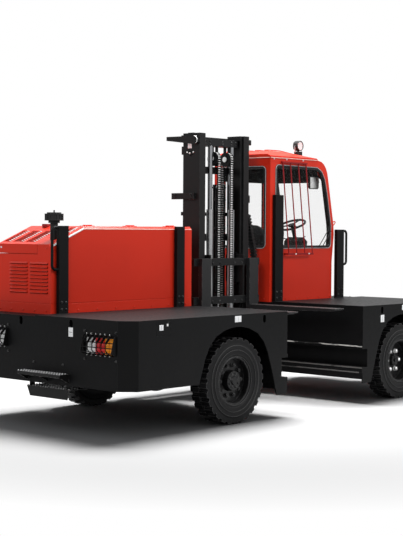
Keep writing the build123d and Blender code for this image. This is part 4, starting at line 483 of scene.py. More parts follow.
def slab(low, high, edge=0.0015, segments=2):
    """Block between two corners, its edges broken."""
    def shape(maker):
        middle = [(a + b) / 2 for a, b in zip(low, high)]
        size = [abs(b - a) for a, b in zip(low, high)]
        place = Matrix.Translation(middle) @ Matrix.Diagonal(size + [1])
        made = bmesh.ops.create_cube(maker, size=1, matrix=place)
        edges = {e for v in made["verts"] for e in v.link_edges}
        width = min([edge] + [s * 0.45 for s in size])
        bmesh.ops.bevel(maker, geom=list(edges), offset=width, segments=segments, affect="EDGES", profile=0.6)
    return shape


def bar(start, end, radius, sides=20, tip=None):
    """Round bar or cone between two points."""
    def shape(maker):
        run = Vector(end) - Vector(start)
        turn = run.to_track_quat("Z", "Y").to_matrix().to_4x4()
        place = Matrix.Translation((Vector(start) + Vector(end)) / 2) @ turn
        bmesh.ops.create_cone(maker, cap_ends=True, segments=sides, radius1=radius,
                              radius2=radius if tip is None else tip, depth=run.length, matrix=place)
    return shape


def sheet(corners, thick, out):
    """Flat panel of any outline, with a thickness along a direction."""
    def shape(maker):
        shift = Vector(out).normalized() * thick
        near = [maker.verts.new(Vector(c)) for c in corners]
        far = [maker.verts.new(Vector(c) + shift) for c in corners]
        maker.faces.new(near)
        maker.faces.new(list(reversed(far)))
        for place in range(len(near)):
            after = (place + 1) % len(near)
            maker.faces.new((near[place], far[place], far[after], near[after]))
    return shape

# %% [markdown]
# What repeats is made by Geometry Nodes. A tree takes a mesh and a few named sizes, and the helper below
# runs it: it sets each input by its socket's identifier, before the first evaluation, then keeps the
# result as a plain mesh and removes its host.

# %% Geometry Nodes helpers


def new_tree(name, *inputs):
    """An empty tree with named inputs, each (name, kind, default)."""
    tree = bpy.data.node_groups.new(name, "GeometryNodeTree")
    tree.interface.new_socket("Geometry", in_out="INPUT", socket_type="NodeSocketGeometry")
    for label, kind, value in inputs + (("Material", "Material", None),):
        made = tree.interface.new_socket(label, in_out="INPUT", socket_type="NodeSocket" + kind)
        if value is not None:
            made.default_value = value
    tree.interface.new_socket("Geometry", in_out="OUTPUT", socket_type="NodeSocketGeometry")
    return tree, add(tree, "NodeGroupInput").outputs


def end_tree(tree, entry, geometry):
    """Make instances real, set the finish and leave."""
    real = add(tree, "GeometryNodeRealizeInstances", ("Geometry", geometry)).outputs["Geometry"]
    done = add(tree, "GeometryNodeSetMaterial", ("Geometry", real), ("Material", entry["Material"]))
    add(tree, "NodeGroupOutput", ("Geometry", done.outputs["Geometry"]))
    print(tree.name, len(tree.nodes), "nodes")


def result(host):
    """What a host's modifier makes, as a plain mesh. The host is removed."""
    found = host.evaluated_get(bpy.context.evaluated_depsgraph_get())
    mesh = bpy.data.meshes.new_from_object(found)
    bpy.data.objects.remove(host)
    return mesh


def run_tree(tree, source, name, body, slot, material, **sizes):
    """Run a tree on a mesh and keep the result as a piece."""
    host = put("host", source)
    modifier = host.modifiers.new("grow", "NODES")
    modifier.node_group = tree
    values = {label.replace("_", " "): value for label, value in sizes.items()}
    values["Material"] = MATERIALS[material]
    for socket in tree.interface.items_tree:
        if socket.item_type == "SOCKET" and socket.in_out == "INPUT" and socket.name in values:
            modifier[socket.identifier] = values[socket.name]
    mesh = result(host)
    piece = keep(mesh, name, body, material)
    print(name, len(mesh.polygons), "faces")
    return piece


def paths_mesh(name, lines, loops=False):
    """Lines of points joined by edges, open or closed."""
    points, edges = [], []
    for line in lines:
        first = len(points)
        points += [tuple(point) for point in line]
        edges += [(n, n + 1) for n in range(first, len(points) - 1)]
        if loops:
            edges.append((len(points) - 1, first))
    mesh = bpy.data.meshes.new(name)
    mesh.from_pydata(points, edges, [])
    return mesh


def marks_mesh(name, marks):
    """Marked points, each with the direction that it faces."""
    mesh = bpy.data.meshes.new(name)
    mesh.from_pydata([tuple(point) for point, facing in marks], [], [])
    facings = mesh.attributes.new("facing", "FLOAT_VECTOR", "POINT")
    facings.data.foreach_set("vector", [c for point, facing in marks for c in facing])
    return mesh

# %% [markdown]
# Four trees do all the repeating here. The first sets a shape on a grid of rows and columns, the second on
# marked points that each know where they face, with a random turn for each bolt head. The third sets two
# shapes in turn along a path, as a chain does, and the fourth draws a round tube along a path. Three of
# them are used often, so a function that calls the tree follows it.

# %% Tree that fills a grid
grid_tree, entry = new_tree("grid", ("Shape", "Object", None), ("Columns", "Int", 4), ("Rows", "Int", 4),
                            ("Corner", "Vector", (0, 0, 0)), ("Column Step", "Vector", (1, 0, 0)),
                            ("Row Step", "Vector", (0, 1, 0)))
shape = add(grid_tree, "GeometryNodeObjectInfo", ("Object", entry["Shape"])).outputs["Geometry"]
column = add(grid_tree, "GeometryNodeMeshLine", ("Count", entry["Columns"]),
             ("Start Location", entry["Corner"]), ("Offset", entry["Column Step"]), mode="OFFSET").outputs["Mesh"]
rows = add(grid_tree, "GeometryNodeMeshLine", ("Count", entry["Rows"]), ("Offset", entry["Row Step"]),
           mode="OFFSET").outputs["Mesh"]
lines = add(grid_tree, "GeometryNodeInstanceOnPoints", ("Points", rows), ("Instance", column))
spots = add(grid_tree, "GeometryNodeRealizeInstances", ("Geometry", lines.outputs["Instances"]))
field = add(grid_tree, "GeometryNodeInstanceOnPoints", ("Points", spots.outputs["Geometry"]),
            ("Instance", shape))
end_tree(grid_tree, entry, field.outputs["Instances"])


def fill_grid(name, body, slot, material, shape, columns, rows, corner, column_step, row_step):
    """A shape on each crossing of a grid, as one piece."""
    run_tree(grid_tree, paths_mesh("start", [[(0, 0, 0)]]), name, body, slot, material, Shape=shape,
             Columns=columns, Rows=rows, Corner=corner, Column_Step=column_step, Row_Step=row_step)

# %% Tree that sets bolts on marked points
mark_tree, entry = new_tree("marks", ("Shape", "Object", None), ("Seed", "Int", 7), ("Size", "Float", 1.0))
shape = add(mark_tree, "GeometryNodeObjectInfo", ("Object", entry["Shape"])).outputs["Geometry"]
facing = add(mark_tree, "GeometryNodeInputNamedAttribute", ("Name", "facing"), data_type="FLOAT_VECTOR")
aim = add(mark_tree, "FunctionNodeAlignRotationToVector", ("Vector", facing.outputs["Attribute"]), axis="Z")
chance = add(mark_tree, "FunctionNodeRandomValue", (2, 0.0), (3, 2 * pi), ("Seed", entry["Seed"]),
             data_type="FLOAT")
spin = add(mark_tree, "FunctionNodeAxisAngleToRotation", ("Axis", (0, 0, 1)), ("Angle", chance.outputs[1]))
turned = add(mark_tree, "FunctionNodeRotateRotation", ("Rotation", aim.outputs["Rotation"]),
             ("Rotate By", spin.outputs["Rotation"]), rotation_space="LOCAL")
heads = add(mark_tree, "GeometryNodeInstanceOnPoints", ("Points", entry["Geometry"]), ("Instance", shape),
            ("Rotation", turned.outputs["Rotation"]), ("Scale", entry["Size"]))
end_tree(mark_tree, entry, heads.outputs["Instances"])


def set_marks(name, body, slot, material, shape, marks, size=1.0):
    """A shape on each mark, as one piece."""
    run_tree(mark_tree, marks_mesh(name, marks), name, body, slot, material, Shape=shape, Size=size)

# %% Tree that sets two shapes in turn along a path
chain_tree, entry = new_tree("chain", ("First", "Object", None), ("Second", "Object", None),
                             ("Pitch", "Float", 0.02))
shapes = add(chain_tree, "GeometryNodeJoinGeometry")
for label in ("Second", "First"):
    part = add(chain_tree, "GeometryNodeObjectInfo", ("Object", entry[label])).outputs["Geometry"]
    part = add(chain_tree, "GeometryNodeGeometryToInstance", ("Geometry", part)).outputs["Instances"]
    chain_tree.links.new(part, shapes.inputs["Geometry"])
path = add(chain_tree, "GeometryNodeMeshToCurve", ("Mesh", entry["Geometry"])).outputs["Curve"]
spots = add(chain_tree, "GeometryNodeCurveToPoints", ("Curve", path), ("Length", entry["Pitch"]),
            mode="LENGTH")
aim = add(chain_tree, "FunctionNodeAlignRotationToVector", ("Vector", spots.outputs["Tangent"]), axis="Z",
          pivot_axis="X")
count = add(chain_tree, "GeometryNodeInputIndex").outputs["Index"]
odd = add(chain_tree, "ShaderNodeMath", (0, count), (1, 2.0), operation="MODULO").outputs[0]
links = add(chain_tree, "GeometryNodeInstanceOnPoints", ("Points", spots.outputs["Points"]),
            ("Instance", shapes.outputs["Geometry"]), ("Pick Instance", True), ("Instance Index", odd),
            ("Rotation", aim.outputs["Rotation"]))
end_tree(chain_tree, entry, links.outputs["Instances"])

# %% Tree that draws a tube along a path
tube_tree, entry = new_tree("tube", ("Radius", "Float", 0.005), ("Corner Radius", "Float", 0.0),
                            ("Sides", "Int", 10))
path = add(tube_tree, "GeometryNodeMeshToCurve", ("Mesh", entry["Geometry"])).outputs["Curve"]
path = add(tube_tree, "GeometryNodeFilletCurve", ("Curve", path), ("Count", 6),
           ("Radius", entry["Corner Radius"]), ("Limit Radius", True), mode="POLY").outputs["Curve"]
round_end = add(tube_tree, "GeometryNodeCurvePrimitiveCircle", ("Resolution", entry["Sides"]),
                ("Radius", entry["Radius"]))
drawn = add(tube_tree, "GeometryNodeCurveToMesh", ("Curve", path),
            ("Profile Curve", round_end.outputs["Curve"]), ("Fill Caps", True))
end_tree(tube_tree, entry, drawn.outputs["Mesh"])


def tube(name, body, slot, material, radius, lines, corner=0.0, loops=False, sides=10):
    """A round tube along each line, as one piece."""
    run_tree(tube_tree, paths_mesh(name, lines, loops), name, body, slot, material, Radius=radius,
             Corner_Radius=corner, Sides=sides)

# %% [markdown]
# The lift chains. Each one runs up the front of its sheave, over it and down behind. The engineering model
# has them as solid bands, good for collision, and these links stand for them. Plates are dark and oily and
# rollers are rubbed bright, so they are two pieces from the same path: waisted plates in turn narrow and
# wide, and a roller at each joint.

# %% Lift chain links
CHAIN_X = (0.1865, 0.3975)
SHEAVE_PLACE = (0.410, 2.660)      # y, z
SHEAVE_RADIUS = 0.070
CHAIN_PITCH = 0.0254
CHAIN_FOOT, CHAIN_END = 1.1, 0.9      # z of the lower ends, in front and behind
PLATE_RADIUS, PLATE_THICK = 0.0075, 0.0021


def chain_route(x):
    """Up the front, over the sheave, down the back."""
    y, z = SHEAVE_PLACE
    over = [(x, y - SHEAVE_RADIUS * cos(radians(a)), z + SHEAVE_RADIUS * sin(radians(a)))
            for a in range(0, 181, 12)]
    return [(x, y - SHEAVE_RADIUS, CHAIN_FOOT)] + over + [(x, y + SHEAVE_RADIUS, CHAIN_END)]


def link_plates(offset):
    """Both side plates of one link, waisted in the middle."""
    ends = ((CHAIN_PITCH / 2, 0), (-CHAIN_PITCH / 2, pi))
    turns = [step * pi / 4 for step in range(5)]
    return [sheet([(side * offset, PLATE_RADIUS * cos(start + a), z + PLATE_RADIUS * sin(start + a))
                   for z, start in ends for a in turns], PLATE_THICK, (side, 0, 0)) for side in (-1, 1)]


wide = template("wide_link", *link_plates(0.0216))
narrow = template("narrow_link", *link_plates(0.0194))
roller = template("roller", bar((-0.0193, 0, CHAIN_PITCH / 2), (0.0193, 0, CHAIN_PITCH / 2), 0.0065, 10))
routes = [chain_route(x) for x in CHAIN_X]
chain_plates = run_tree(chain_tree, paths_mesh("routes", routes), "lift_chain_plates", "mast_inner",
                        "chain_steel", "chain_steel", First=wide, Second=narrow, Pitch=CHAIN_PITCH)
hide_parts("lift_chains")
run_tree(chain_tree, paths_mesh("routes", routes), "lift_chain_rollers", "mast_inner", "chain_steel",
         "roller_steel", First=roller, Second=roller, Pitch=CHAIN_PITCH)
for spare in (wide, narrow, roller):
    bpy.data.objects.remove(spare)

# %% [markdown]
# At the head of the mast the sheaves turn on hubs of turned steel, which show as bright rings. Around them
# sit the small things that a mast collects: a stop block and a clamp on the front upright, a cap and a
# stop on the rear one, and the anchor bars that hold the chains' lower ends.

# %% Mast head and chain anchors
# from the chain's middle to both ends of a disc, its radius and sides
HUB_DISCS = ((0.0435, 0.0402, 0.030, 28), (0.0447, 0.043, 0.017, 20))
build("sheave_hubs", "mast_inner", "steel", "roller_steel",
      *[bar((x - start, *SHEAVE_PLACE), (x - end, *SHEAVE_PLACE), radius, sides)
        for x in CHAIN_X for start, end, radius, sides in HUB_DISCS])
UPRIGHT_REAR = -0.1505
UPRIGHT_FRONT = 0.6795
build("mast_stops", "mast_outer", "mast_black", "mast_black",
      slab((UPRIGHT_FRONT, 0.328, 2.833), (UPRIGHT_FRONT + 0.045, 0.386, 2.893), 0.006),
      slab((UPRIGHT_FRONT, 0.331, 2.182), (UPRIGHT_FRONT + 0.03, 0.378, 2.267), 0.005),
      slab((UPRIGHT_REAR, 0.568, 2.697), (UPRIGHT_REAR + 0.05, 0.596, 2.788), 0.004),
      slab((UPRIGHT_REAR, 0.426, 2.928), (UPRIGHT_REAR + 0.04, 0.501, 2.9352), 0.002),
      bar((UPRIGHT_REAR - 0.012, 0.462, 2.71), (UPRIGHT_REAR + 0.002, 0.462, 2.71), 0.027, 6),
      slab((UPRIGHT_REAR - 0.006, 0.418, 2.702), (UPRIGHT_REAR, 0.506, 2.718), 0.002))
anchors = []
for x in CHAIN_X:
    anchors += [slab((x - 0.02, 0.331, 1.06), (x + 0.02, 0.349, 1.105), 0.003),
                bar((x, 0.34, 0.96), (x, 0.34, 1.065), 0.009),
                slab((x - 0.02, 0.471, 0.86), (x + 0.02, 0.489, 0.905), 0.003)]
build("chain_anchors", "mast_inner", "steel", "steel", *anchors)
print("mast head dressed")

# %% [markdown]
# Oil pipes run up the plate behind the chains: rigid steel tube painted black, in a row of four, held by
# clamps. They are bent from straight lines, so the tube tree draws them with a corner radius.

# %% Mast pipes
PLATE_FACE_Y = 0.571
PIPE_Y = PLATE_FACE_Y - 0.014
PIPE_BEND = 0.03
for place, (x, top) in enumerate(((0.378, 2.34), (0.402, 2.30), (0.500, 2.36), (0.524, 2.33))):
    side, crown = x + PIPE_BEND, top + PIPE_BEND
    line = [(x, PIPE_Y, 0.44), (x, PIPE_Y, top), (side, PIPE_Y, crown), (side, PLATE_FACE_Y + 0.001, crown)]
    tube(f"mast_pipe_{place}", "mast_outer", "mast_black", "rim_black", 0.008, [line], 0.02)
clamps = [slab((x - 0.016, PLATE_FACE_Y - 0.026, z), (x + 0.04, PLATE_FACE_Y + 0.001, z + 0.028), 0.004)
          for x in (0.378, 0.500) for z in (0.7, 1.1, 1.5, 1.88, 2.2)]
build("pipe_clamps", "mast_outer", "trim_plastic", "trim_plastic", *clamps)

# %% [markdown]
# Steps must grip a boot, so their treads are pressed with rows of raised teeth. The grid tree sets one
# small cone on each crossing. Boots have worn every tooth to bright steel.

# %% Step teeth
tooth = template("tooth", bar((0, 0, 0), (0, 0, 0.008), 0.0085, 8, 0.004))
TOOTH_STEP = 0.036
# name, corner of the field, columns, rows
STEP_FIELDS = (("rear_step_teeth", (-2.742, -0.310, 0.5395), 3, 17),
               ("front_step_teeth", (2.660, -0.310, 0.5395), 3, 17),
               ("low_step_teeth", (-2.622, -0.310, 0.3915), 6, 17),
               ("cab_step_teeth", (0.490, 0.990, 0.3115), 10, 3))
for name, corner, columns, row_count in STEP_FIELDS:
    fill_grid(name, "root", "chassis_black", "steel", tooth, columns, row_count, corner, (TOOTH_STEP, 0, 0),
              (0, TOOTH_STEP, 0))
bpy.data.objects.remove(tooth)

# %% [markdown]
# The hood breathes through pressed louvres. The rear wall's are in the engineering model, and the two
# grids on the left wall are dressed here. In the sloping top the sunk bays get a dark sheet behind their
# slats, painted shade that makes them read as holes, and the slat ends are painted white as glints.

# %% Hood louvres and bays
louvre = template("louvre", sheet([(-0.11, 0, -0.009), (0.11, 0, -0.009), (0.105, 0.010, -0.004),
                                   (-0.105, 0.010, -0.004)], 0.011, (0, 0, 1)))
for name, start in (("side_louvres_rear", -1.95), ("side_louvres_front", -0.98)):
    fill_grid(name, "root", "cab_red", "cab_red", louvre, 2, 9, (start, 1.0199, 1.25), (0.26, 0, 0),
              (0, 0, 0.034))
bpy.data.objects.remove(louvre)

HOOD_REAR = -2.400
EAVE_Z = 1.727
RIDGE = (-1.968, 1.905)
SLOPE = atan2(RIDGE[1] - EAVE_Z, RIDGE[0] - HOOD_REAR)
HOOD_RIGHT = 0.200


def on_slope(along, out, y):
    """Point on the hood's slope, up from the eave and outwards."""
    x = HOOD_REAR + along * cos(SLOPE) - out * sin(SLOPE)
    return (x, y, EAVE_Z + along * sin(SLOPE) + out * cos(SLOPE))


# from the hood's right wall, distances up the slope, body, pitch of the slats
BAYS = ((0.040, 0.150, 0.300, 0.430, "root", 0.018), (0.290, 0.430, 0.050, 0.340, "hood_lid", 0.028),
        (0.470, 0.620, 0.050, 0.340, "hood_lid", 0.028), (0.660, 0.770, 0.050, 0.340, "hood_lid", 0.028))
BAY_GAP, BAY_DEPTH = 0.001, -0.010
normal = (-sin(SLOPE), 0, cos(SLOPE))
# dark sheets in the bays stand for the shade inside them: painted shade
for body in ("root", "hood_lid"):
    shade_sheets = []
    for run0, run1, start, stop, rider, pitch in BAYS:
        if rider == body:
            low, high = start + BAY_GAP, stop - BAY_GAP
            y0, y1 = HOOD_RIGHT + run0 + BAY_GAP, HOOD_RIGHT + run1 - BAY_GAP
            corners = [on_slope(along, BAY_DEPTH, y)
                       for along, y in ((low, y0), (high, y0), (high, y1), (low, y1))]
            shade_sheets.append(sheet(corners, 0.002, normal))
    build("bay_backs_" + body, body, "cab_red", "bay_red", *shade_sheets)
# white slat ends with a faint glow stand for sun glints: painted highlights
slat_end = template("slat_end", sheet([(-0.006, -0.012, -0.003), (0.006, -0.012, -0.003),
                                       (0.006, 0.012, 0.001), (-0.006, 0.012, 0.001)], 0.006, (0, 0, 1)))
up_slope = Vector(on_slope(1.0, 0.0, 0.0)) - Vector(on_slope(0.0, 0.0, 0.0))
for place, (run0, run1, start, stop, rider, pitch) in enumerate(BAYS):
    low = Vector(on_slope(start + pitch / 2, 0.0, HOOD_RIGHT + run0 + 0.010))
    fill_grid(f"slat_ends_{place}", rider, "cab_red", "plate_white", slat_end, int((stop - start) / pitch), 1,
              low, up_slope * pitch, (0.0, 1.0, 0.0))
bpy.data.objects.remove(slat_end)

# %% [markdown]
# Thin tubes along the hood's pressed hems are coloured pale as painted highlights: a glowing white one up the
# slope on the load side, a pale red one along the top edge. Lift latches sit on the ridge and on the left wall.

# %% Hood hem highlights and latches
HIGHLIGHT_X, HIGHLIGHT_Z = RIDGE[0] - 0.004, RIDGE[1] - 0.029
# the white tube up the slope glows faintly: a painted highlight
tube("hood_slope_hem", "root", "cab_red", "plate_white", 0.009,
     [[(HOOD_REAR + 0.02, 0.2035, EAVE_Z - 0.016), (HIGHLIGHT_X, 0.2035, RIDGE[1] - 0.026)]])
tube("hood_top_hem", "root", "cab_red", "hem_red", 0.004, [[(HIGHLIGHT_X, 0.2025, HIGHLIGHT_Z), (-0.412, 0.2025, HIGHLIGHT_Z)]])
LATCH_X = (-2.0, -1.25, -0.62)
build("hood_latches", "hood_lid", "cab_red", "red_plastic",
      slab((-2.01, 0.70, 1.893), (-1.95, 0.78, 1.925), 0.006),
      *[slab((x, 1.0195, 1.66), (x + 0.11, 1.031, 1.70), 0.005) for x in LATCH_X])
build("hood_pulls", "hood_lid", "cab_red", "rim_black",
      *[slab((x + 0.02, 1.030, 1.672), (x + 0.09, 1.037, 1.688), 0.003) for x in LATCH_X])

# %% [markdown]
# Bolts hold everything. One template, a six-sided head with a washer and a rounded end, is set on marked
# points, one mesh for each body. Each point carries the direction that its face looks. A bolted cover
# plate closes the frame in front of the cab.

# %% Bolt heads
bolt = template("bolt", bar((0, 0, 0), (0, 0, 0.0022), 0.0125, 16),
                bar((0, 0, 0.002), (0, 0, 0.0095), 0.0095, 6),
                bar((0, 0, 0.009), (0, 0, 0.0108), 0.0082, 6, 0.006))
BACK, FRONT, RIGHT, LEFT, TOP = (-1, 0, 0), (1, 0, 0), (0, -1, 0), (0, 1, 0), (0, 0, 1)


def row(start, end, count, facing):
    """Evenly spaced marks, each with its facing."""
    first, last = Vector(start), Vector(end)
    return [(first.lerp(last, n / (count - 1)), facing) for n in range(count)]


def rows_of(*lines):
    """All the marks of several rows."""
    return [mark for line in lines for mark in row(*line)]


BLACK = ("chassis_black", "rim_black")
MAST = ("mast_black", "rim_black")
# x of each face, and z of the two lines of panel bolts
REAR_END, FRONT_END, HOOD_FACE, HOOD_END, CAB_FACE = -2.640, 2.640, -2.400, -0.408, 0.912
FOOT_Z, COVER_Z = 1.085, 1.0572

marks = [((REAR_END, side * y, z), BACK) for side in (-1, 1) for y in (0.54, 0.948) for z in (0.955, 0.70)]
marks += rows_of(((REAR_END, -0.30, 0.47), (REAR_END, 0.23, 0.47), 2, BACK),
                 ((FRONT_END, -0.30, 0.47), (FRONT_END, 0.23, 0.47), 2, FRONT),
                 ((REAR_END, -0.245, 0.62), (REAR_END, 0.165, 0.62), 2, BACK),
                 *[((x, 0.880, 0.70), (x, 0.880, 1.0), 3, RIGHT) for x in (-0.366, 0.891)])
set_marks("chassis_bolts", "root", *BLACK, bolt, marks)
# rear edge of each guard post's foot, and its width
FEET = ((-2.334, 0.118), (-0.683, 0.115), (0.952, 0.143), (2.135, 0.137))
marks = rows_of(*[((x + 0.03, 0.150, z), (x + width - 0.03, 0.150, z), 2, RIGHT) for x, width in FEET
                  for z in (1.10, 1.17)])
set_marks("post_bolts", "root", *BLACK, bolt, marks)
# steel bolt heads finished white with a faint glow: painted glints
marks = [((0.978, 0.2, 2.693), RIGHT)]
marks += rows_of(((1.205, 0.2, 2.690), (1.515, 0.2, 2.690), 2, RIGHT),
                 ((1.30, 0.126, 1.600), (1.548, 0.126, 1.602), 2, RIGHT))
marks += [((HOOD_FACE, 0.938, 1.692), BACK)]
set_marks("cab_bright_bolts", "root", "steel", "plate_white", bolt, marks, 0.8)
marks = rows_of(((0.99, 0.2, FOOT_Z), (2.05, 0.2, FOOT_Z), 6, RIGHT),
                ((CAB_FACE, 0.28, FOOT_Z), (CAB_FACE, 0.97, FOOT_Z), 4, BACK),
                ((-2.30, 0.2, FOOT_Z), (-0.50, 0.2, FOOT_Z), 8, RIGHT),
                ((HOOD_FACE, 0.26, FOOT_Z), (HOOD_FACE, 0.95, FOOT_Z), 5, BACK),
                ((-2.30, 1.02, FOOT_Z), (-0.50, 1.02, FOOT_Z), 8, LEFT),
                ((HOOD_END, 0.26, 1.30), (HOOD_END, 0.26, 1.8), 3, FRONT))
marks += [((HOOD_FACE, 0.26, 1.692), BACK)]
set_marks("panel_bolts", "root", "cab_red", "cab_red", bolt, marks, 0.75)

build("front_cover_plate", "root", "chassis_black", "chassis_black",
      slab((2.096, 0.198, 1.0532), (2.556, 1.028, COVER_Z), 0.001))
marks = rows_of(((2.53, 0.24, COVER_Z), (2.53, 0.97, COVER_Z), 4, TOP),
                ((2.16, 1.004, COVER_Z), (2.46, 1.004, COVER_Z), 3, TOP))
set_marks("cover_bolts", "root", *BLACK, bolt, marks, 0.7)

# %% Mast, trolley and carriage bolts
marks = rows_of(*[((-0.105, 0.600, z), (0.634, 0.600, z), 2, LEFT) for z in (2.05, 2.863, 2.888)])
marks += [((x, 0.588, z), LEFT) for x in (0.370, 0.552) for z in (0.6, 1.2, 1.8, 2.35)]
marks += [((UPRIGHT_REAR - 0.036, y, z), BACK) for y in (0.42, 0.66) for z in (2.226, 2.258)]
marks += [((UPRIGHT_FRONT + 0.045, 0.357, 2.863), FRONT), ((UPRIGHT_FRONT + 0.03, 0.355, 2.224), FRONT)]
set_marks("mast_bolts", "mast_outer", *MAST, bolt, marks)
marks = [((UPRIGHT_REAR, 0.418, 2.722), BACK), ((UPRIGHT_REAR, 0.510, 2.722), BACK),
         ((UPRIGHT_REAR - 0.012, 0.462, 2.71), BACK)]
set_marks("mast_pin_bolts", "mast_outer", "steel", "roller_steel", bolt, marks, 0.8)
# a bright steel arc on the arm's round end stands for a glint: a painted highlight
ARM_Y, ARM_Z, ARM_RADIUS = 0.375, 2.850, 0.042
arc = [(-0.187, ARM_Y - ARM_RADIUS * cos(radians(a)), ARM_Z + ARM_RADIUS * sin(radians(a)))
       for a in range(-50, 91, 10)]
tube("arm_rubbed_edge", "mast_outer", "steel", "roller_steel", 0.004, [arc])
marks = [((x, 0.3898, z), RIGHT) for x in (0.02, 0.09, 0.30, 0.45, 0.52) for z in (2.825, 2.855)]
set_marks("crosshead_bolts", "mast_inner", *MAST, bolt, marks, 0.8)
marks = [((x, 0.275, z), RIGHT) for x in (0.02, 0.14, 0.39, 0.51) for z in (1.09, 1.51)]
set_marks("carriage_bolts", "fork_carriage", *MAST, bolt, marks)
marks = [((x, y, 0.42), facing) for x, facing in ((-0.346, FRONT), (0.871, BACK))
         for y in (0.30, 0.345, 0.63, 0.74)]
set_marks("trolley_bolts", "trolley", *MAST, bolt, marks)

# %% [markdown]
# Wheel nuts sit on the studs in a ring, one mesh for each wheel, so that they turn with it. The rear
# drive hub also has a ring of small bolts and a cap. The front wheels' nuts are bright and domed. Raised
# moulded rings run around each side wall.

# %% Wheel nuts
nut = template("nut", bar((0, 0, 0), (0, 0, 0.004), 0.026, 20), bar((0, 0, 0.003), (0, 0, 0.024), 0.0215, 6),
               bar((0, 0, 0.0235), (0, 0, 0.031), 0.0165, 12, 0.009))
# name, side, disc's face from the wheel's middle, studs, stud circle, hub's face, hub circle
REAR_WHEEL = (0.024, 10, 0.150, 0.085, 0.066)
FRONT_WHEEL = (-0.016, 6, 0.115, 0.030, 0.040)
WHEELS = (("rear_right", -1, *REAR_WHEEL), ("rear_left", 1, *REAR_WHEEL),
          ("front_right", -1, *FRONT_WHEEL), ("front_left", 1, *FRONT_WHEEL))
WALL_RINGS = ((0.236, 0.1085), (0.300, 0.1095), (0.345, 0.1085))      # radius, height


def circle_at(middle, radius, out, count, first=0.0):
    """Points on a circle about a wheel's axle."""
    angles = [2 * pi * (n + first) / count for n in range(count)]
    return [middle + Vector((radius * cos(a), out, radius * sin(a))) for a in angles]


for name, side, disc, studs, stud_circle, hub_face, hub_circle in WHEELS:
    low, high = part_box("tyre_" + name)
    middle = (low + high) / 2
    body = "wheel_" + name
    rear = name.startswith("rear")
    look = ("rim_black", "rim_black") if rear else ("steel", "roller_steel")
    marks = [(spot, (0, side, 0)) for spot in circle_at(middle, stud_circle, side * disc, studs)]
    set_marks("nuts_" + name, body, *look, nut, marks, 0.95 if rear else 1.1)
    marks = [(spot, (0, side, 0)) for spot in circle_at(middle, hub_circle, side * hub_face, 8, 0.5)]
    set_marks("hub_bolts_" + name, body, "rim_black", "rim_black", bolt, marks, 1.0 if rear else 0.7)
    cap_end, cap_radius = (0.098, 0.045) if rear else (0.046, 0.026)
    build("hub_cap_" + name, body, "rim_black", "rim_black",
          bar(middle + Vector((0, side * (hub_face - 0.002), 0)), middle + Vector((0, side * cap_end, 0)),
              cap_radius, 32, cap_radius * 0.8))
    rings = [circle_at(middle, radius, side * out, 72) for radius, out in WALL_RINGS]
    tube("wall_rings_" + name, body, "tyre_rubber", "ring_rubber", 0.0028, rings, loops=True, sides=8)
bpy.data.objects.remove(nut)

# %% [markdown]
# Rear lamp guards: between the wires that the model has, flat stays stand upright and on edge. Each one
# leaves the plate above the lens, slopes out over it, runs down in front and returns below. Their paint
# has chipped at the top and bottom, so the ends glint.

# %% Lamp guard stays
STAY_OUTLINE = ((-2.6395, 0.938), (-2.650, 0.938), (-2.7065, 0.872), (-2.7065, 0.790), (-2.652, 0.739),
                (-2.6395, 0.739), (-2.6395, 0.748), (-2.650, 0.750), (-2.698, 0.794), (-2.698, 0.846),
                (-2.6395, 0.908))      # x, z
stays, glints = [], []
for side in (-1, 1):
    for count in range(6):
        y = side * (0.5795 + 0.0597 * count)
        stays.append(sheet([(x, y - 0.002, z) for x, z in STAY_OUTLINE], 0.004, (0, 1, 0)))
        glints.append(slab((-2.657, y - 0.003, 0.9235), (-2.6395, y + 0.003, 0.9415), 0.0015))
        glints.append(slab((-2.655, y - 0.004, 0.7365), (-2.6395, y + 0.004, 0.7445), 0.0015))
build("lamp_stays", "root", "chassis_black", "chassis_black", *stays)
build("lamp_stay_ends", "root", "steel", "roller_steel", *glints)

# %% [markdown]
# Blank plates: on the real machine small white plates mark tie-down points, the filler and the controls.
# They are left without any lettering: a thin plate with a broken edge and a dark fold across it.

# %% Blank plates and access panel
# low corner, high corner of each plate
END_PLATE = ((-2.6425, -0.381, 0.888), (-2.640, -0.322, 0.973))
SIDE_PLATES = (((-2.245, -1.1012, 0.964), (-2.192, -1.100, 1.015)),
               ((-1.200, -1.1012, 0.990), (-1.106, -1.100, 1.050)),
               ((1.250, -1.1012, 0.873), (1.317, -1.100, 0.953)),
               ((1.665, -1.1012, 0.990), (1.757, -1.100, 1.048)))
build("blank_plates", "root", "chassis_black", "plate_white", slab(*END_PLATE, 0.0005),
      *[slab(low, high, 0.0005) for low, high in SIDE_PLATES])
build("mast_plate", "mast_outer", "mast_black", "plate_white",
      slab((-0.153, 0.443, 2.764), (-0.1505, 0.500, 2.852), 0.002))
low, high = END_PLATE
folds = [slab((low[0] - 0.0006, low[1] + 0.008, low[2] + 0.040),
              (low[0] + 0.001, high[1] - 0.008, low[2] + 0.044), 0.0003)]
for low, high in SIDE_PLATES:
    middle = (low[0] + high[0]) / 2
    folds.append(slab((middle - 0.0012, low[1] - 0.0003, low[2] + 0.006),
                      (middle + 0.0012, low[1] + 0.001, high[2] - 0.006), 0.0003))
build("plate_folds", "root", "chassis_black", "trim_plastic", *folds)
build("panel_latch", "root", "steel", "roller_steel",
      slab((-2.150, -1.1012, 1.000), (-2.128, -1.100, 1.022), 0.0005),
      slab((-2.146, -1.1018, 1.008), (-2.132, -1.101, 1.014), 0.0003))
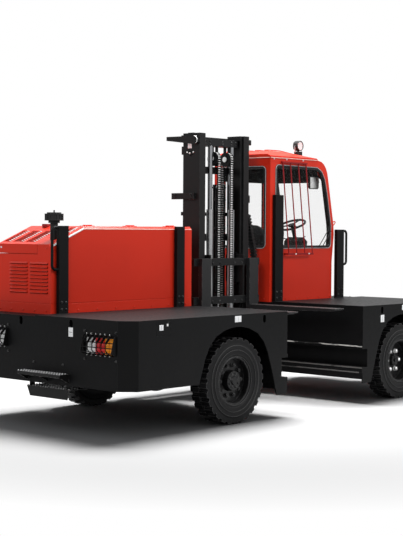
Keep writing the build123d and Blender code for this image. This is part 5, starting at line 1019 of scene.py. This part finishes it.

# %% [markdown]
# The guide channels' flanges are rubbed by the trolley on every trip, so each edge carries a bright,
# broken line; the pale upper line is partly a painted highlight on the flange's edge. Thin strips with a
# scratched finish lie on the flanges of both well walls.

# %% Rubbed strips on the guide channels
strips, lines = [], []
for x0, x1 in ((0.9055, 0.9075), (-0.3825, -0.3805)):
    lines.append(slab((x0, -1.098, 0.620), (x1, 0.84, 0.6325), 0.0008))
    strips.append(slab((x0 - 0.001, -1.098, 0.388), (x1 + 0.001, 0.84, 0.4008), 0.0008))
    strips.append(slab((x0 - 0.001, -1.06, 0.338), (x1 + 0.001, 0.84, 0.350), 0.0008))
build("channel_lines", "root", "chassis_black", "rubbed_rail", *lines)
build("channel_strips", "root", "chassis_black", "bright_rail", *strips)

# %% [markdown]
# Windows: the glass sits in a black rubber seal, with a pale filler cord pressed into its groove and a
# fat black lip on the glass. The tube tree follows the window's outline with rounded corners. The front
# window is curved, so its cord would need the nose's curve; the seal alone is enough there.

# %% Filler cords and lips of the window seals
CAB_REAR, CAB_FRONT, SILL, WINDOW_TOP = 0.912, 2.092, 1.660, 2.630
SIDE_OUTLINE = ((CAB_REAR + 0.088, SILL), (CAB_FRONT - 0.026, SILL), (CAB_FRONT - 0.022, SILL + 0.270),
                (CAB_FRONT - 0.100, SILL + 0.650), (CAB_FRONT - 0.152, SILL + 0.830),
                (CAB_FRONT - 0.210, SILL + 0.915), (CAB_FRONT - 0.300, WINDOW_TOP - 0.008),
                (CAB_REAR + 0.088, WINDOW_TOP))      # x, z
REAR_OUTLINE = ((0.260, SILL), (0.990, SILL), (0.990, 2.610), (0.260, 2.610))      # y, z
DOOR_OUTLINE = ((1.080, SILL), (1.800, SILL), (1.800, 2.530), (1.080, 2.530))      # x, z


def inset(points, gap):
    """Closed outline moved inwards by a gap, for an outline that turns left."""
    moved = []
    total = len(points)
    for n in range(total):
        before, here, after = (Vector(points[k % total]) for k in (n - 1, n, n + 1))
        way_in, way_out = (here - before).normalized(), (after - here).normalized()
        left = Vector((-way_in.y, way_in.x)) + Vector((-way_out.y, way_out.x))
        moved.append(here + left * gap / (1 + way_in.dot(way_out)))
    return moved


# kind, finish, gap from the opening, distance out, radius, corner
SEALS = (("bead", "seal_bead", 0.005, 0.0, 0.0035, 0.055),
         ("gasket", "seal_rubber", 0.027, 0.007, 0.010, 0.034))
for window, outline in (("side", SIDE_OUTLINE), ("rear", REAR_OUTLINE)):
    for kind, finish, gap, out, radius, corner in SEALS:
        line = [(p.x, 0.1948 + out, p.y) if window == "side" else (0.9068 + out, p.x, p.y)
                for p in inset(outline, gap)]
        tube(f"{window}_window_{kind}", "root", "seal_rubber", finish, radius, [line], corner, loops=True)
tube("door_window_seal", "cab_door", "seal_rubber", "seal_rubber", 0.010,
     [[(x, 1.0515, z) for x, z in DOOR_OUTLINE]], 0.02, loops=True)

# %% [markdown]
# Inside the cab: a near-black lining covers the roof and hangs down to the top of the driver's view, its
# darkness partly painted shade under the roof, a ribbed rubber mat lies on the floor, and two wiper arms rest
# low behind the nose. Under the steering wheel there is a moulded binnacle with two stalks, and the levers on
# the side console get a rubber boot. The mirror gets its glass, and a small red grab bracket stands on the
# nose's corner.

# %% Cab lining, mat, wiper and mirror glass
build("cab_lining", "root", "trim_plastic", "lining_shade_plastic",
      slab((0.955, 0.245, 2.645), (1.76, 1.006, 2.658), 0.004),
      slab((0.955, 0.996, 2.444), (1.84, 1.008, 2.648), 0.004),
      sheet([(1.950, 0.290, 2.448), (1.950, 0.960, 2.448), (1.888, 0.960, 2.632), (1.888, 0.290, 2.632)], 0.008,
            (-1, 0, -0.3)),
      slab((1.70, 0.262, 2.618), (1.884, 0.996, 2.644), 0.01))
build("cab_mat", "root", "seal_rubber", "seal_rubber", slab((1.60, 0.262, 1.089), (1.88, 0.99, 1.095), 0.002),
      *[slab((1.61 + 0.03 * n, 0.27, 1.094), (1.62 + 0.03 * n, 0.98, 1.098), 0.001) for n in range(9)])
for name, (x0, z0), (x1, z1) in (("rear", (1.824, 1.688), (2.009, 1.891)),
                                 ("front", (1.893, 1.688), (2.052, 1.862))):
    tube("wiper_arm_" + name, "root", "trim_plastic", "trim_plastic", 0.005,
         [[(x0, 0.186, z0), (x1, 0.186, z1), (x1 + 0.012, 0.202, z1 + 0.012)]], 0.006)
build("wiper_blade", "root", "seal_rubber", "seal_rubber",
      slab((1.79, 0.1835, 1.678), (1.93, 0.1885, 1.692), 0.002),
      slab((1.80, 0.188, 1.682), (1.92, 0.2105, 1.686), 0.001))
build("binnacle", "root", "trim_plastic", "trim_plastic",
      sheet([(x, 0.50, z) for x, z in ((1.845, 1.62), (1.975, 1.62), (2.0, 1.735), (1.93, 1.79), (1.86, 1.74))],
            0.25, (0, 1, 0)),
      bar((1.88, 0.52, 1.765), (1.84, 0.41, 1.80), 0.006), bar((1.88, 0.73, 1.765), (1.84, 0.84, 1.80), 0.006),
      slab((1.495, 0.298, 1.607), (1.712, 0.358, 1.628), 0.008, 4))
low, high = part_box("cab_mirror")
build("mirror_glass", "root", "lens_clear", "roller_steel",
      slab((low.x + 0.010, low.y - 0.0025, low.z + 0.010), (high.x - 0.010, low.y + 0.001, low.z + 0.140),
           0.02, 6))
tube("nose_bracket", "root", "cab_red", "cab_red", 0.006,
     [[(2.118, 0.214, 1.925), (2.150, 0.206, 1.952), (2.182, 0.204, 1.995), (2.132, 0.208, 1.978),
       (2.098, 0.215, 1.985)]], 0.012)

# %% [markdown]
# The roof has a folded drip edge and pressed ribs, their edges drawn as pale tubes that are painted highlights,
# and its lamp a bezel, cooling fins and a yoke. These are small, but they are what makes a pressed roof and a
# cast lamp read as real.

# %% Roof edge and work lamp
# pale red tubes on the drip edge and the ribs are painted highlights
tube("roof_drip_edge", "root", "cab_red", "hem_red", 0.0045,
     [[(0.893, 1.060, 2.703), (0.893, 0.190, 2.703), (1.800, 0.190, 2.703)]], 0.02)
rib_highlights = [0.338 + 0.1435 * rib - 0.0235 for rib in range(5)]
tube("roof_rib_edges", "root", "cab_red", "hem_red", 0.005,
     [[(1.004, y, 2.785), (1.222, y, 2.785), (1.730, y, 2.742)] for y in rib_highlights])
lamp_low, lamp_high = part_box("work_lamp_glass")
lamp_x = (lamp_low.x + lamp_high.x) / 2
lamp_z = (lamp_low.z + lamp_high.z) / 2
lamp_y = lamp_low.y
BEZEL_RADIUS, YOKE_HALF = 0.0545, 0.0655
bezel = [(lamp_x + BEZEL_RADIUS * cos(a), lamp_y - 0.004, lamp_z + BEZEL_RADIUS * sin(a))
         for a in [2 * pi * n / 40 for n in range(40)]]
tube("lamp_bezel", "root", "trim_plastic", "rubbed_black", 0.0045, [bezel], loops=True)
fins = [slab((lamp_x - 0.04 + 0.016 * n, lamp_y + 0.058, lamp_z - 0.04),
             (lamp_x - 0.037 + 0.016 * n, lamp_y + 0.072, lamp_z + 0.04), 0.001) for n in range(6)]
build("lamp_fins", "root", "trim_plastic", "trim_plastic", *fins)
yoke = [(lamp_x + side * YOKE_HALF, lamp_y + 0.028, lamp_z - drop)
        for side, drop in ((-1, 0), (-1, 0.075), (1, 0.075), (1, 0))]
tube("lamp_yoke", "root", "steel", "steel", 0.005, [yoke], 0.02)

# %% [markdown]
# The seat is soft, so it is simulated. Each cushion starts as a rounded block a little smaller than the
# engineering solid, is remeshed to an even skin, shaped with bolsters, and swollen as cloth under light
# pressure. The move of each point is capped, so that it keeps its form. Seams are pressed in afterwards.

# %% Seat cushion helpers
VOXEL = 0.006
SWELL_FRAMES = 20
SWELL_ROOM = 0.008      # how much smaller than the solid a cushion starts


def evaluated_mesh(source, kind, **settings):
    """A mesh after one modifier."""
    host = put("host", source)
    modifier = host.modifiers.new("step", kind)
    for key, value in settings.items():
        setattr(modifier, key, value)
    return result(host)


def swell(mesh, cap):
    """Swell a closed mesh as cloth under pressure, each point held within a cap of its start."""
    start = [v.co.copy() for v in mesh.vertices]
    host = put("stuffing", mesh)
    cloth = host.modifiers.new("cloth", "CLOTH")
    cloth.settings.use_pressure = True
    cloth.settings.uniform_pressure_force = 4.0
    cloth.settings.effector_weights.gravity = 0.0
    cloth.point_cache.frame_end = SWELL_FRAMES
    for frame_number in range(1, SWELL_FRAMES + 1):
        bpy.context.scene.frame_set(frame_number)
    swollen = result(host)
    bpy.context.scene.frame_set(1)
    for vertex, was in zip(swollen.vertices, start):
        move = vertex.co - was
        if move.length > cap:
            vertex.co = was + move.normalized() * cap
    return swollen


def cushion(name, low, high, corner, form, seams, cap=0.010):
    """A padded piece: rounded block, even skin, form, swell, seams."""
    block = shaped(name, [slab([c + SWELL_ROOM for c in low], [c - SWELL_ROOM for c in high], corner, 5)])
    mesh = evaluated_mesh(block, "REMESH", mode="VOXEL", voxel_size=VOXEL)
    for vertex in mesh.vertices:
        vertex.co = form(vertex.co.copy())
    mesh = swell(mesh, cap)
    mesh = evaluated_mesh(mesh, "SUBSURF", levels=1, render_levels=1)
    for vertex in mesh.vertices:
        vertex.co = seams(vertex.co.copy())
    piece = keep(mesh, name, "root", "seat_fabric")
    print(name, len(mesh.polygons), "faces")
    return piece


def groove(distance, width=0.005):
    """Depth share of a pressed seam at a distance from its line."""
    return exp(-(distance / width) ** 2)

# %% Seat cushions
SEAT_Y = 0.625
SEAM_Y = 0.135


def pad_form(p):
    """Bolsters at both sides and a rolled front edge."""
    side = min(max((abs(p.y - SEAT_Y) - 0.11) / 0.08, 0.0), 1.0)
    front = min(max((p.x - 1.46) / 0.12, 0.0), 1.0)
    if p.z > 1.44:
        p.z += 0.006 * side - 0.016 * (1 - side) - 0.028 * front * front
    return p


def pad_seams(p):
    """Two long seams and three cross channels on the top."""
    if p.z > 1.45:
        depth = groove(abs(p.y - SEAT_Y) - SEAM_Y)
        if abs(p.y - SEAT_Y) < SEAM_Y:
            depth += 0.7 * max(groove(p.x - x) for x in (1.25, 1.34, 1.43))
        p.z -= 0.006 * depth
    return p


def back_form(p):
    """Wings forward at both sides, a lumbar swell, and a rounded top."""
    side = abs(p.y - SEAT_Y)
    crown = 1.949 - 0.13 * (side / 0.21) ** 4
    if p.z > 1.75:
        p.z = 1.75 + (p.z - 1.75) * (crown - 1.75) / 0.199
    wing = min(max((side - 0.12) / 0.08, 0.0), 1.0)
    if p.x > 1.10:
        p.x += 0.012 * wing - 0.018 * (1 - wing) + 0.012 * exp(-((p.z - 1.58) / 0.1) ** 2)
    return p


def back_seams(p):
    """Two upright seams and four cross channels on the front."""
    if p.x > 1.10:
        side = abs(p.y - SEAT_Y)
        depth = groove(side - 0.125)
        if side < 0.125:
            depth += 0.7 * max(groove(p.z - z) for z in (1.54, 1.64, 1.74, 1.84))
        p.x -= 0.006 * depth
    return p


cushions = [cushion("seat_pad", (1.142, 0.395, 1.389), (1.582, 0.855, 1.499), 0.034, pad_form, pad_seams),
            cushion("seat_back", (1.042, 0.405, 1.419), (1.142, 0.845, 1.949), 0.034, back_form, back_seams)]
ARM_OUT = 0.262
for side in (-1, 1):
    y = SEAT_Y + side * ARM_OUT
    cushions.append(cushion("armrest_left" if side > 0 else "armrest_right", (1.10, y - 0.026, 1.655),
                            (1.40, y + 0.026, 1.71), 0.018, lambda p: p, lambda p: p, 0.005))
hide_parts("seat_cushions")
frames = []
for y in (SEAT_Y - ARM_OUT, SEAT_Y + ARM_OUT):
    frames.append(slab((1.085, y - 0.012, 1.60), (1.115, y + 0.012, 1.672), 0.004))
for side in (-1, 1):
    frames.append(slab((1.085, SEAT_Y + side * 0.205 - 0.012, 1.60),
                       (1.115, SEAT_Y + side * 0.274, 1.625), 0.004))
build("armrest_frames", "root", "trim_plastic", "trim_plastic", *frames)
bpy.data.objects.remove(bolt)

# %% [markdown]
# Stage and light: a pale floor without a horizon, one broad lamp overhead, a large soft one behind the
# camera's left shoulder and another from the right. Only camera rays see the far floor as plain white,
# so the vehicle stands on a white page and keeps its shadow. The world is white for the camera and for
# reflections, and dimmer as a light.

# %% Floor
WHITE = (1, 1, 1, 1)
FLOOR_REACH = 60.0
floor_mesh = bpy.data.meshes.new("floor")
corners = [(-FLOOR_REACH, -FLOOR_REACH, 0), (FLOOR_REACH, -FLOOR_REACH, 0), (FLOOR_REACH, FLOOR_REACH, 0),
           (-FLOOR_REACH, FLOOR_REACH, 0)]
floor_mesh.from_pydata(corners, [], [(0, 1, 2, 3)])
floor = put("floor", floor_mesh)
floor_material, floor_shader = new_material("floor")
floor_tone = mix(floor_material, object_noise(floor_material, 0.8, 3), shade((0.86, 0.86, 0.86), 1),
                 shade((0.9, 0.9, 0.9), 1))
join(floor_material, floor_tone, floor_shader, "Base Color")
preset(floor_shader, Roughness=0.9, Specular_IOR_Level=0.0)
away = node(floor_material, "ShaderNodeVectorMath", (0, object_place(floor_material)), operation="LENGTH")
far = ramp(floor_material, away.outputs["Value"], 3.6, 5.6)
seen = node(floor_material, "ShaderNodeLightPath").outputs["Is Camera Ray"]
page = node(floor_material, "ShaderNodeEmission", ("Color", WHITE), ("Strength", 1.0))
both = node(floor_material, "ShaderNodeMixShader", (0, times(floor_material, far, seen)),
            (1, floor_shader.outputs[0]), (2, page.outputs[0]))
output = floor_material.node_tree.nodes["Material Output"]
floor_material.node_tree.links.new(both.outputs[0], output.inputs["Surface"])
floor_mesh.materials.append(floor_material)
floor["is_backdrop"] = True

# %% World
world = bpy.data.worlds.new("world")
bpy.context.scene.world = world
world.use_nodes = True
tree = world.node_tree
tree.nodes.clear()
lamp_sky = add(tree, "ShaderNodeBackground", ("Color", (0.95, 0.97, 1.0, 1)), ("Strength", 0.12))
seen_sky = add(tree, "ShaderNodeBackground", ("Color", WHITE), ("Strength", 1.0))
rays = add(tree, "ShaderNodeLightPath")
either = add(tree, "ShaderNodeMath", (0, rays.outputs["Is Camera Ray"]),
             (1, rays.outputs["Is Transmission Ray"]), operation="MAXIMUM")
also = add(tree, "ShaderNodeMath", (0, either.outputs[0]), (1, rays.outputs["Is Glossy Ray"]),
           operation="MAXIMUM")
blend_sky = add(tree, "ShaderNodeMixShader", (0, also.outputs[0]), (1, lamp_sky.outputs[0]),
                (2, seen_sky.outputs[0]))
add(tree, "ShaderNodeOutputWorld", (0, blend_sky.outputs[0]))

# %% [markdown]
# A photographer keeps side lamps off the floor with flags, so that only the overhead lamp draws the shadow.
# Light linking does the same here: the floor is left out of what the two side lamps light.

# %% Lamps
flagged = bpy.data.collections.new("flagged")
flagged.objects.link(floor)
flagged.collection_objects[0].light_linking.link_state = "EXCLUDE"
# name, place, point it looks at, width, height, power in watts
LAMPS = (("overhead", (1.4, 0.9, 8.0), (0, 0, 0), 4.5, 3.5, 1100.0),
         ("left_shoulder", (-9.5, -3.0, 8.0), (-1.0, 0, 1.0), 5.0, 4.0, 420.0),
         ("right_side", (2.0, -9.5, 7.5), (0.5, 0, 1.0), 6.0, 4.0, 560.0))
for name, place, target, width, height, power in LAMPS:
    data = bpy.data.lights.new(name, "AREA")
    data.shape = "RECTANGLE"
    data.size = width
    data.size_y = height
    data.energy = power
    lamp = put(name, data)
    lamp.location = place
    lamp.rotation_euler = (Vector(target) - Vector(place)).to_track_quat("-Z", "Y").to_euler()
    if name != "overhead":
        lamp.light_linking.receiver_collection = flagged
bpy.context.scene.view_settings.view_transform = "Standard"
print(len(LAMPS), "lamps")

# %% Sizes and finish
low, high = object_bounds()
print("dressed model from", to_millimetre(low), "to", to_millimetre(high))
